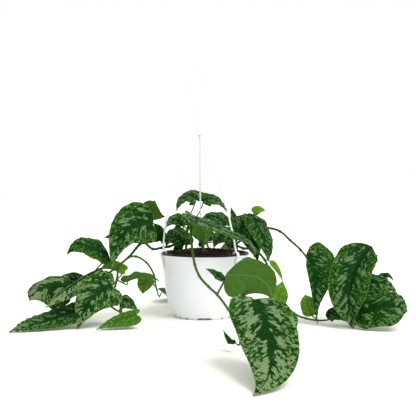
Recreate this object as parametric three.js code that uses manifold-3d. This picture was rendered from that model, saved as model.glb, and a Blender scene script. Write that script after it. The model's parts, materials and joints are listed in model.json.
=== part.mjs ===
// Satin pothos (Scindapsus pictus) in a white hanging pot that stands on a table.
// Millimetres, +Z up, the front of the pot at -Y. The origin is the middle of the pot's foot, on the table.

import * as THREE from "three";
import { mergeVertices } from "three/addons/utils/BufferGeometryUtils.js";
import Module from "manifold-3d";

const wasm = await Module();
wasm.setup();

// ------------------------------------------------------------------ driving dimensions

const GAP = 0.3; // clearance between pieces that touch
const TURNS = 30; // facets round the pot, the grow pot and the soil

const POT_HEIGHT = 117;
const RIM_RADIUS = 85;
const FOOT_RADIUS = 57;
const POT_WALL = 2;
const FOOT_RECESS = 4.6; // how far the groove under the floor reaches up
const NOTCH_HEIGHT = 4.2;
const WIDE_NOTCH = 27; // one wide drain notch and four narrow ones in each third of the foot
const NARROW_NOTCH = 4;
const NARROW_NOTCH_ANGLES = [-49.5, -33, 33, 49.5];

const LINER_WALL = 1;
const LINER_PLAY = 0.6; // between the grow pot and the pot's wall
const LINER_LIP = 2.4; // the grow pot's lip stands this much above the pot's rim
const LINER_LIP_RADIUS = 83.6;
const LINER_MOUTH = 78.6;

const SOIL_EDGE = 115; // height of the soil at the wall, and of its mound above that
const SOIL_MOUND = 11;
const ROOT_DEPTH = 22; // how deep a stem stands in the soil

const HUB = { x: -8.5, y: 0, bottom: 340, top: 353 };
const HOOK = { x: -17, z: 447, middle: 19.3, band: 9, depth: 5, openAngle: -22, neckAngle: 215 };
const LEG_RADIUS = 1.6;
const LEG_SPREAD = 3.3; // from the hub's axis to the middle of a leg's upper end
const CLIP_WIDTH = 7;
const CLIP_THICKNESS = 1.8;

const BLADE = 1; // thickness of a leaf blade
const PETIOLE_RADIUS = 1.3;
const UPRIGHT = 8; // a vine is upright this far under and over the soil, and so is its hole
const VINE_STEP = 14; // length of one straight piece of a bent vine, and of a leaf's stalk
const STALK_STEP = 18;
const VINE_SIDES = 6;
const STALK_SIDES = 5;

const WHITE_PLASTIC = { color: 0xf1f3f8, roughness: 0.35, metalness: 0 };
const BLACK_PLASTIC = { color: 0x15171d, roughness: 0.45, metalness: 0 };
const POTTING_SOIL = { color: 0x2a1a12, roughness: 0.95, metalness: 0 };
const STEM_GREEN = { color: 0x3f6b25, roughness: 0.5, metalness: 0 };
const SATIN_GREEN = { color: 0x4d7a4a, roughness: 0.45, metalness: 0 };
const YOUNG_GREEN = { color: 0x6fa030, roughness: 0.45, metalness: 0 };

const plant = new THREE.Group();

function add(name, geometry, look) {
  const faceted = geometry.index ? geometry.toNonIndexed() : geometry;
  faceted.computeVertexNormals();
  const mesh = new THREE.Mesh(faceted, new THREE.MeshStandardMaterial(look));
  mesh.name = name;
  plant.add(mesh);
  return mesh;
}

// ------------------------------------------------------------------ closed solids

// A closed geometry with only its places, each vertex once, and no triangle without a surface.
function closed(geometry) {
  const bare = geometry.clone();
  bare.deleteAttribute("normal");
  bare.deleteAttribute("uv");
  const merged = mergeVertices(bare, 1e-4);
  const { array } = merged.index;
  const kept = [];
  for (let i = 0; i < array.length; i += 3) {
    const [a, b, c] = [array[i], array[i + 1], array[i + 2]];
    if (a !== b && b !== c && c !== a) kept.push(a, b, c);
  }
  merged.setIndex(kept);
  return merged;
}

function signedVolume(geometry) {
  const place = geometry.attributes.position;
  const { array } = geometry.index;
  const [a, b, c] = [new THREE.Vector3(), new THREE.Vector3(), new THREE.Vector3()];
  let sum = 0;
  for (let i = 0; i < array.length; i += 3) {
    a.fromBufferAttribute(place, array[i]);
    b.fromBufferAttribute(place, array[i + 1]);
    c.fromBufferAttribute(place, array[i + 2]);
    sum += a.dot(b.cross(c)) / 6;
  }
  return sum;
}

function solid(geometry) {
  const body = closed(geometry);
  const triangles = Uint32Array.from(body.index.array);
  if (signedVolume(body) < 0) {
    triangles.reverse();
  }
  const vertProperties = Float32Array.from(body.attributes.position.array);
  return new wasm.Manifold(new wasm.Mesh({ numProp: 3, vertProperties, triVerts: triangles }));
}

function geometryOf(body) {
  const mesh = body.getMesh();
  const geometry = new THREE.BufferGeometry();
  geometry.setAttribute("position", new THREE.BufferAttribute(mesh.vertProperties, 3));
  geometry.setIndex(new THREE.BufferAttribute(mesh.triVerts, 1));
  return geometry;
}

// A turned piece: its profile, as [radius, height] pairs that start and end on the axis, spun round Z.
function turned(profile, segments) {
  const points = profile.map(([radius, height]) => new THREE.Vector2(radius, height));
  return new THREE.LatheGeometry(points, segments).rotateX(Math.PI / 2);
}

// A closed round bar along a curve. radiusAt takes the share of the length and gives the radius there.
function bar(curve, radiusAt, sides, steps) {
  const { normals, binormals } = curve.computeFrenetFrames(steps, false);
  const places = [];
  const faces = [];
  for (let i = 0; i <= steps; i++) {
    const centre = curve.getPointAt(i / steps);
    const radius = radiusAt(i / steps);
    for (let k = 0; k < sides; k++) {
      const turn = (2 * Math.PI * k) / sides;
      const place = centre.clone();
      place.addScaledVector(normals[i], radius * Math.cos(turn));
      place.addScaledVector(binormals[i], radius * Math.sin(turn));
      places.push(place.x, place.y, place.z);
    }
  }
  for (let i = 0; i < steps; i++) {
    for (let k = 0; k < sides; k++) {
      const next = (k + 1) % sides;
      const [a, b] = [i * sides + k, i * sides + next];
      faces.push(a, b, b + sides, a, b + sides, a + sides);
    }
  }
  for (let k = 1; k < sides - 1; k++) {
    const end = steps * sides;
    faces.push(0, k + 1, k, end, end + k, end + k + 1);
  }
  const geometry = new THREE.BufferGeometry();
  geometry.setAttribute("position", new THREE.Float32BufferAttribute(places, 3));
  geometry.setIndex(faces);
  return geometry;
}

const vector = ([x, y, z]) => new THREE.Vector3(x, y, z);

// The way from the pot's axis to a point of its rim, by the angle from the front, to the right.
const outward = (degrees) => {
  const angle = THREE.MathUtils.degToRad(degrees);
  return new THREE.Vector3(Math.sin(angle), -Math.cos(angle), 0);
};

// ------------------------------------------------------------------ outer pot

// The outside of the pot from its foot up to just under the rim.
const OUTER_WALL = [
  [FOOT_RADIUS, 0],
  [58.8, 1.2],
  [61.6, 7],
  [64.6, 14],
  [69.9, 29],
  [73.7, 48],
  [77.5, 80],
  [82.4, 110],
];

// The inside wall keeps the wall's thickness from the outside, above the floor.
const INNER_WALL = OUTER_WALL.slice(3).map(([radius, height]) => [radius - POT_WALL, height]);
const FLOOR = FOOT_RECESS + 2.4;
const PAD_RADIUS = 46; // the pad that the pot stands on in the middle, and the foot ring round it
const RING_INSIDE = 54;
const LIP_UNDER = POT_HEIGHT - 3.2;

const potProfile = [
  [0, 0],
  [PAD_RADIUS, 0],
  [PAD_RADIUS, FOOT_RECESS],
  [RING_INSIDE, FOOT_RECESS],
  [RING_INSIDE, 0],
  ...OUTER_WALL,
  [82.8, LIP_UNDER],
  [RIM_RADIUS, LIP_UNDER + 0.6],
  [RIM_RADIUS, POT_HEIGHT - 0.6],
  [RIM_RADIUS - 0.6, POT_HEIGHT],
  [RIM_RADIUS - 4.2, POT_HEIGHT],
  ...[...INNER_WALL].reverse(),
  [57.4, FLOOR],
  [PAD_RADIUS - POT_WALL, FLOOR],
  [PAD_RADIUS - POT_WALL, POT_WALL],
  [0, POT_WALL],
];

function notch(width, degrees) {
  const reach = 16;
  const block = new THREE.BoxGeometry(width, reach, 2 * NOTCH_HEIGHT);
  block.translate(0, -(RING_INSIDE + reach / 2 - 1), 0);
  return solid(block.rotateZ(THREE.MathUtils.degToRad(degrees)));
}

let pot = solid(turned(potProfile, TURNS));
for (const third of [0, 120, 240]) {
  pot = pot.subtract(notch(WIDE_NOTCH, third));
  for (const angle of NARROW_NOTCH_ANGLES) {
    pot = pot.subtract(notch(NARROW_NOTCH, third + angle));
  }
}
add("pot", geometryOf(pot), WHITE_PLASTIC);

// ------------------------------------------------------------------ grow pot

const LINER_FOOT = FLOOR + GAP;
const LINER_TOP = POT_HEIGHT + GAP + LINER_LIP;
const linerRows = INNER_WALL.filter((_, row) => row !== 1);
const linerOutside = linerRows.map(([radius, height]) => [radius - LINER_PLAY, height]);
const linerInside = linerOutside.map(([radius, height]) => [radius - LINER_WALL, height]);

const linerProfile = [
  [0, LINER_FOOT],
  [56, LINER_FOOT],
  ...linerOutside,
  [79.9, POT_HEIGHT + GAP],
  [LINER_LIP_RADIUS, POT_HEIGHT + GAP],
  [LINER_LIP_RADIUS, LINER_TOP - 0.5],
  [LINER_LIP_RADIUS - 0.5, LINER_TOP],
  [LINER_MOUTH, LINER_TOP],
  ...[...linerInside].reverse(),
  [55, LINER_FOOT + LINER_WALL],
  [0, LINER_FOOT + LINER_WALL],
];
add("grow_pot", closed(turned(linerProfile, TURNS)), BLACK_PLASTIC);

// ------------------------------------------------------------------ soil

const SOIL_RADIUS = 77.6;

// The height of the soil's mound, with low lumps.
function soilHeight(x, y) {
  const out = Math.min(1, Math.hypot(x, y) / SOIL_RADIUS);
  const mound = SOIL_MOUND * (1 - out * out);
  const lumps = Math.sin(x * 0.11 + 1.3) * Math.cos(y * 0.13 - 0.6) + 0.6 * Math.sin((x - y) * 0.21);
  return SOIL_EDGE + mound + lumps * (1 - out);
}

const SOIL_RINGS = [0.3, 0.65, 1];
const soilProfile = [
  [0, LINER_FOOT + LINER_WALL + GAP],
  [54.4, LINER_FOOT + LINER_WALL + GAP],
  ...linerInside.slice(0, 2).map(([radius, height]) => [radius - GAP, height]),
  ...[...SOIL_RINGS].reverse().map((share) => [share * SOIL_RADIUS, SOIL_EDGE]),
  [0, SOIL_EDGE],
];
const soilBlock = closed(turned(soilProfile, TURNS));
const soilPlaces = soilBlock.attributes.position;
for (let i = 0; i < soilPlaces.count; i++) {
  if (soilPlaces.getZ(i) > SOIL_EDGE - 0.01) {
    soilPlaces.setZ(i, soilHeight(soilPlaces.getX(i), soilPlaces.getY(i)));
  }
}
let soil = solid(soilBlock);

// ------------------------------------------------------------------ hanger

// The hook, its neck and the hub are one flat moulding that faces the front, like a question mark.
function hookOutline() {
  const middle = [];
  const neck = new THREE.CatmullRomCurve3(
    [
      [HUB.x, HUB.top - 5],
      [HUB.x - 3, 378],
      [HUB.x - 13, 405],
      [-29.5, 424],
    ].map(([x, z]) => new THREE.Vector3(x, z, 0)),
  );
  for (let i = 0; i <= 6; i++) {
    const point = neck.getPoint(i / 6);
    middle.push([point.x, point.y, 3.4 + (i / 6) * 1.1]);
  }
  const arcSteps = 16;
  for (let i = 0; i <= arcSteps; i++) {
    const sweep = HOOK.neckAngle + ((HOOK.openAngle - HOOK.neckAngle) * i) / arcSteps;
    const angle = THREE.MathUtils.degToRad(sweep);
    const x = HOOK.x + HOOK.middle * Math.cos(angle);
    const z = HOOK.z + HOOK.middle * Math.sin(angle);
    middle.push([x, z, i === arcSteps ? HOOK.band * 0.3 : HOOK.band / 2]);
  }
  const left = [];
  const right = [];
  for (let i = 0; i < middle.length; i++) {
    const [before, after] = [middle[Math.max(0, i - 1)], middle[Math.min(middle.length - 1, i + 1)]];
    const along = new THREE.Vector2(after[0] - before[0], after[1] - before[1]).normalize();
    const [x, z, half] = middle[i];
    left.push(new THREE.Vector2(x - along.y * half, z + along.x * half));
    right.push(new THREE.Vector2(x + along.y * half, z - along.x * half));
  }
  return new THREE.Shape([...right, ...left.reverse()]);
}

const hookPlate = new THREE.ExtrudeGeometry(hookOutline(), { depth: HOOK.depth, bevelEnabled: false });
hookPlate.rotateX(Math.PI / 2).translate(0, HUB.y + HOOK.depth / 2, 0);
const hubHeight = HUB.top - HUB.bottom;
const hub = new THREE.CylinderGeometry(4.2, 6, hubHeight, 14).rotateX(Math.PI / 2);
hub.translate(HUB.x, HUB.y, HUB.bottom + hubHeight / 2);
add("hanger_hook", geometryOf(solid(hookPlate).add(solid(hub))), WHITE_PLASTIC);

// The clip at a leg's foot, seen along the rim: a curl inside, an arch over the rim and a strap outside.
const CLIP_CREST = [81.6, 124.2];
const CLIP_MIDDLE = [
  [76.5, 118.4],
  [76.2, 121],
  [78.2, 123.4],
  CLIP_CREST,
  [85, 123],
  [86.7, 119.6],
  [86.7, 113],
  [84.6, 109.4],
  [83.4, 103],
  [82.3, 95],
  [81.8, 92],
];

function clip(degrees) {
  const left = [];
  const right = [];
  CLIP_MIDDLE.forEach(([r, z], i) => {
    const before = CLIP_MIDDLE[Math.max(0, i - 1)];
    const after = CLIP_MIDDLE[Math.min(CLIP_MIDDLE.length - 1, i + 1)];
    const along = new THREE.Vector2(after[0] - before[0], after[1] - before[1]).normalize();
    const half = CLIP_THICKNESS / 2;
    left.push(new THREE.Vector2(r - along.y * half, z + along.x * half));
    right.push(new THREE.Vector2(r + along.y * half, z - along.x * half));
  });
  const outline = new THREE.Shape([...left, ...right.reverse()]);
  const plate = new THREE.ExtrudeGeometry(outline, { depth: CLIP_WIDTH, bevelEnabled: false });
  const turn = THREE.MathUtils.degToRad(degrees - 90);
  plate.translate(0, 0, -CLIP_WIDTH / 2).rotateX(Math.PI / 2).rotateZ(turn);
  return solid(plate);
}

// A leg follows its own places from the clip's crest up to the hub.
function leg(name, degrees, places) {
  const way = outward(degrees);
  const foot = way.clone().multiplyScalar(CLIP_CREST[0]).setZ(CLIP_CREST[1]);
  const under = way.clone().multiplyScalar(LEG_SPREAD);
  const top = HUB.bottom - GAP;
  const head = new THREE.Vector3(HUB.x + under.x, HUB.y + under.y, top);
  const below = head.clone().addScaledVector(way, LEG_RADIUS).setZ(top - 9);
  const curve = new THREE.CatmullRomCurve3([foot, ...places.map(vector), below, head]);
  const rod = solid(bar(curve, () => LEG_RADIUS, 6, 12));
  const above = new THREE.BoxGeometry(60, 60, 20).translate(HUB.x, HUB.y, top + 10);
  const whole = rod.add(clip(degrees)).subtract(solid(above));
  add(name, geometryOf(whole), WHITE_PLASTIC);
}

leg("hanger_leg_left", -68, [
  [-75.3, -30, 146],
  [-71.5, -28.5, 178],
  [-64, -25.5, 208],
  [-48, -18.5, 250],
  [-30, -10.5, 292],
  [-17, -4.5, 322],
]);
leg("hanger_leg_right", 44.5, [
  [53.5, -54, 146],
  [46.8, -47.5, 178],
  [41.2, -41.5, 205],
  [27, -28, 250],
  [11, -14.5, 292],
  [-1.5, -5, 322],
]);
leg("hanger_leg_back", 185, [
  [-7.8, 77, 146],
  [-8.2, 72, 178],
  [-8.4, 64, 208],
  [-8.5, 48, 250],
  [-8.5, 29, 292],
  [-8.5, 13, 322],
]);

// ------------------------------------------------------------------ leaf blades

// Half of a heart-shaped blade's outline, from the notch at the stalk round the lobe to the tip. Each row
// is the end of one side vein: its share of the half width, its place along the midrib in lengths, the
// place on the midrib that the vein leaves from, how far its end moves up where there is no lobe, and how
// much wider it is on a full blade.
const HALF_OUTLINE = [
  [0.34, -0.095, 0.015, 0.16, 0],
  [0.74, -0.1, 0.05, 0.25, 0],
  [0.98, 0.05, 0.12, 0.18, 0],
  [1, 0.22, 0.22, 0.1, 0],
  [0.88, 0.43, 0.37, 0.04, 0.12],
  [0.63, 0.64, 0.55, 0.01, 0.3],
  [0.33, 0.82, 0.74, 0, 0.3],
  [0.11, 0.94, 0.9, 0, 0.1],
];
const WIDE_SHARES = [-1, -0.52, 0, 0.52, 1]; // points across a blade, and across a narrow one
const NARROW_SHARES = [-1, 0, 1];
const NARROW_WIDTH = 30;
const PLAIN_ROWS = [0, 1, 3, 4, 5, 7]; // a blade that isn't fine does with fewer of the rows

const ofSide = (value, side) => (Array.isArray(value) ? value[side < 0 ? 0 : 1] : value);

// A blade's surface. rib holds the four points of the midrib's curve and face is the way its upper side
// looks. fold lifts the halves from the midrib and cup bends them down again, in degrees. lobe is 1 for a
// deep heart-shaped base and 0 or less for a tapered one, and full is 0 for a pointed blade and 1 or more
// for a broad tip. A pair gives the left and the right half. twist turns the blade about its midrib, slant
// makes the right half wider, and wave ripples the edge.
function bladeSurface(leaf) {
  const { rib, width, fold = 12, cup = 30, twist = 0, wave = 1.5, slant = 0 } = leaf;
  const midrib = new THREE.CubicBezierCurve3(...rib.map(vector));
  const length = midrib.getLength();
  const face = vector(leaf.face).normalize();
  return (side, share, ribPlace, outlinePlace) => {
    const bend = share ** 1.3;
    const place = ribPlace + (outlinePlace - ribPlace) * bend;
    const t = Math.max(0, Math.min(1, place));
    const along = midrib.getTangent(t);
    const angle = THREE.MathUtils.degToRad(twist * (t - 0.3));
    const up = face.clone().applyAxisAngle(along, angle);
    up.addScaledVector(along, -up.dot(along)).normalize();
    const right = new THREE.Vector3().crossVectors(along, up);
    return { midrib, length, place, t, along, up, right, side, width, fold, cup, wave, slant };
  };
}

function bladePoint(frame, across) {
  const { midrib, length, place, t, along, up, right, side, width, wave, slant } = frame;
  const half = (width / 2) * (1 + side * slant);
  const lift = THREE.MathUtils.degToRad(ofSide(frame.fold, side));
  const curl = THREE.MathUtils.degToRad(ofSide(frame.cup, side)) || 1e-4;
  const out = (half / curl) * (Math.sin(lift) - Math.sin(lift - curl * across));
  const rise = (half / curl) * (Math.cos(lift - curl * across) - Math.cos(lift));
  const ripple = wave * across * across * Math.sin(17 * place + 2.2 * side);
  const point = midrib.getPoint(t);
  point.addScaledVector(along, Math.min(0, place) * length);
  point.addScaledVector(right, side * out);
  point.addScaledVector(up, rise + ripple);
  return point;
}

function blade(leaf) {
  const surface = bladeSurface(leaf);
  const shares = leaf.width < NARROW_WIDTH ? NARROW_SHARES : WIDE_SHARES;
  const at = (share, width, outlinePlace, ribPlace) => {
    const side = share < 0 ? -1 : 1;
    const reach = Math.abs(share);
    return bladePoint(surface(side, reach, ribPlace, outlinePlace), reach * width);
  };
  const outline = leaf.fine ? HALF_OUTLINE : PLAIN_ROWS.map((row) => HALF_OUTLINE[row]);
  const rows = outline.map(([width, end, start, taper, more]) =>
    shares.map((share) => {
      const [lobe, full] = [ofSide(leaf.lobe ?? 1, share), ofSide(leaf.full ?? 0, share)];
      return at(share, width + more * full, end + taper * (1 - lobe), start);
    }),
  );
  const top = [at(0, 0, 0, 0), ...rows.flat(), at(0, 0, 1, 1)];
  const columns = shares.length;
  const tip = top.length - 1;
  const index = (row, column) => 1 + row * columns + column;
  const faces = [];
  for (let k = 0; k < columns - 1; k++) {
    faces.push([0, index(0, k), index(0, k + 1)]);
    faces.push([tip, index(rows.length - 1, k + 1), index(rows.length - 1, k)]);
    for (let row = 0; row < rows.length - 1; row++) {
      const [a, b] = [index(row, k), index(row, k + 1)];
      const [c, d] = [index(row + 1, k + 1), index(row + 1, k)];
      const leftHalf = k < (columns - 1) / 2;
      faces.push(...(leftHalf ? [[a, d, b], [b, d, c]] : [[a, c, b], [a, d, c]]));
    }
  }
  const normals = top.map(() => new THREE.Vector3());
  for (const [a, b, c] of faces) {
    const edge = top[b].clone().sub(top[a]);
    const normal = edge.cross(top[c].clone().sub(top[a]));
    for (const corner of [a, b, c]) normals[corner].add(normal);
  }
  const upward = normals[index(2, (columns - 1) / 2)].dot(vector(leaf.face)) > 0 ? 1 : -1;
  const under = top.map((p, i) => p.clone().addScaledVector(normals[i].normalize(), -upward * BLADE));
  const leftEdge = rows.map((_, row) => index(row, 0));
  const rightEdge = rows.map((_, row) => index(row, columns - 1));
  const rim = [0, ...rightEdge, tip, ...leftEdge.reverse()];
  const count = top.length;
  const all = [];
  for (const [a, b, c] of faces) {
    all.push(a, c, b, a + count, b + count, c + count);
  }
  rim.forEach((a, i) => {
    const b = rim[(i + 1) % rim.length];
    all.push(b, a, b + count, a, a + count, b + count);
  });
  const geometry = new THREE.BufferGeometry();
  const places = [...top, ...under].flatMap((p) => [p.x, p.y, p.z]);
  geometry.setAttribute("position", new THREE.Float32BufferAttribute(places, 3));
  geometry.setIndex(all);
  if (signedVolume(geometry) < 0) {
    geometry.setIndex(all.reverse());
  }
  return geometry;
}

// ------------------------------------------------------------------ vines

// A vine stands upright in its own hole in the soil and then follows its nodes.
const vines = {};

function vine(name, root, radius, nodes, tipRadius = radius * 0.6) {
  const ground = soilHeight(...root);
  const bottom = ground - ROOT_DEPTH;
  const heights = [bottom, ground - UPRIGHT, ground, ground + UPRIGHT];
  const upright = heights.map((z) => new THREE.Vector3(...root, z));
  const places = nodes.map(vector);
  const curve = new THREE.CatmullRomCurve3([...upright, ...places], false, "centripetal");
  const steps = Math.max(8, Math.round(curve.getLength() / VINE_STEP));
  const taper = (share) => radius + (tipRadius - radius) * share ** 2;
  vines[name] = { places, stem: { body: solid(bar(curve, taper, VINE_SIDES, steps)) } };
  const deep = 2 * ROOT_DEPTH;
  const hole = new THREE.CylinderGeometry(radius + 3 * GAP, radius + 3 * GAP, deep, 10);
  hole.rotateX(Math.PI / 2).translate(...root, bottom - GAP + deep / 2);
  soil = soil.subtract(solid(hole));
}

// A side shoot grows from a node of a vine and stays one piece with it.
function shoot(name, parent, node, radius, nodes) {
  const { places: from, stem } = vines[parent];
  const places = nodes.map(vector);
  const curve = new THREE.CatmullRomCurve3([from[node], ...places], false, "centripetal");
  const steps = Math.max(6, Math.round(curve.getLength() / VINE_STEP));
  const taper = (share) => radius * (1 - 0.4 * share ** 2);
  stem.body = stem.body.add(solid(bar(curve, taper, VINE_SIDES, steps)));
  vines[name] = { places, stem, isShoot: true };
}

// A stalk from a node of a vine to just under the notch of a blade, which it meets from below.
function petiole(leaf) {
  const start = vines[leaf.vine].places[leaf.node];
  const surface = bladeSurface(leaf)(1, 0, 0, 0);
  const { up, along, length } = surface;
  const radius = leaf.stalk ?? PETIOLE_RADIUS;
  const arrive = up.clone().multiplyScalar(0.95).addScaledVector(along, 0.3);
  const seat = leaf.fused ? BLADE / 2 : BLADE + 2.5 * GAP;
  const end = vector(leaf.rib[0]).addScaledVector(up, -seat);
  end.addScaledVector(along, -GAP);
  const span = start.distanceTo(end);
  const way = end.clone().sub(start).normalize();
  const reach = Math.min(span * 0.4, length * 0.5);
  const bow = vector(leaf.bow ?? [0, 0, 0]);
  const leave = start.clone().addScaledVector(way, span * 0.35).add(bow);
  const land = end.clone().addScaledVector(arrive, -reach).add(bow.clone().multiplyScalar(0.4));
  const path = new THREE.CubicBezierCurve3(start, leave, land, end);
  const steps = Math.max(3, Math.round(path.getLength() / STALK_STEP));
  const sheath = (share) => radius * (1 + 0.35 * Math.max(0, 1 - share * 4));
  return solid(bar(path, sheath, STALK_SIDES, steps));
}

// A leaf's stalk is part of its vine. A large blade is a piece of its own, a tiny young one is not.
function grow(leaf) {
  const stem = vines[leaf.vine].stem;
  stem.body = stem.body.add(petiole(leaf));
  if (leaf.fused) {
    stem.body = stem.body.add(solid(blade(leaf)));
  } else {
    add(leaf.name, blade(leaf), leaf.young ? YOUNG_GREEN : SATIN_GREEN);
  }
}

// The vine that trails over the left of the rim and out along the table.
vine("left", [-56, -6], 2.4, [
  [-66, -10, 131],
  [-80, -14, 129],
  [-96, -20, 127],
  [-113, -38, 140],
  [-137, -60, 116],
  [-155, -72, 101],
  [-177, -68, 84],
  [-198, -68, 66],
  [-216, -72, 48],
  [-234, -80, 30],
  [-252, -86, 12],
]);
shoot("left_low", "left", 5, 2, [
  [-157, -78, 76],
  [-164, -80, 52],
  [-168, -96, 36],
  [-148, -108, 24],
  [-128, -110, 17],
]);
shoot("left_young", "left", 4, 2, [
  [-124, -62, 117],
  [-106, -46, 104],
  [-94, -28, 80],
  [-91, -10, 54],
  [-86, 6, 35],
  [-81, 20, 43],
]);

// The vine that rises in the crown, falls over the front of the rim and runs towards the front.
vine("front", [-34, -26], 2.4, [
  [-34, -31, 140],
  [-31, -42, 166],
  [-27, -56, 177],
  [-25, -70, 170],
  [-24, -79, 150],
  [-21, -87, 127],
  [-17, -100, 106],
  [-9, -125, 89],
  [7, -170, 76],
  [20, -225, 71],
  [35, -290, 59],
  [49, -350, 44],
  [64, -388, 26],
  [80, -420, 8],
]);

// The vine that arches out to the right and comes down behind the leaves there.
vine("right_arch", [62, 18], 2.3, [
  [80, 14, 146],
  [100, 8, 160],
  [119, 0, 165],
  [141, -14, 160],
  [159, -26, 144],
  [177, -38, 127],
  [192, -40, 108],
  [215, -42, 76],
  [243, -50, 42],
  [272, -62, 26],
  [296, -76, 18],
]);

// The low vine that leaves over the right of the rim and lies along the table.
vine("right_low", [58, -34], 2.3, [
  [72, -44, 130],
  [90, -54, 130],
  [108, -58, 112],
  [124, -62, 76],
  [140, -72, 38],
  [162, -86, 16],
  [179, -94, 10],
  [200, -98, 7],
  [219, -100, 8],
]);

// Short upright stems in the crown.
vine("crown_left", [-50, 14], 2.3, [
  [-50, 12, 134],
  [-50, 8, 146],
]);
vine("crown_middle", [-2, -46], 2.2, [
  [-2, -46, 134],
  [0, -44, 146],
]);
vine("crown_right", [48, -4], 2.2, [
  [50, -5, 134],
  [53, -6, 146],
]);

// The vine behind the pot.
vine("back", [-4, 56], 2.3, [
  [-1, 70, 132],
  [4, 88, 130],
  [10, 101, 110],
  [8, 108, 80],
  [0, 112, 48],
  [-14, 120, 20],
  [-34, 130, 8],
  [-56, 138, 6],
]);

// ------------------------------------------------------------------ leaves

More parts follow.
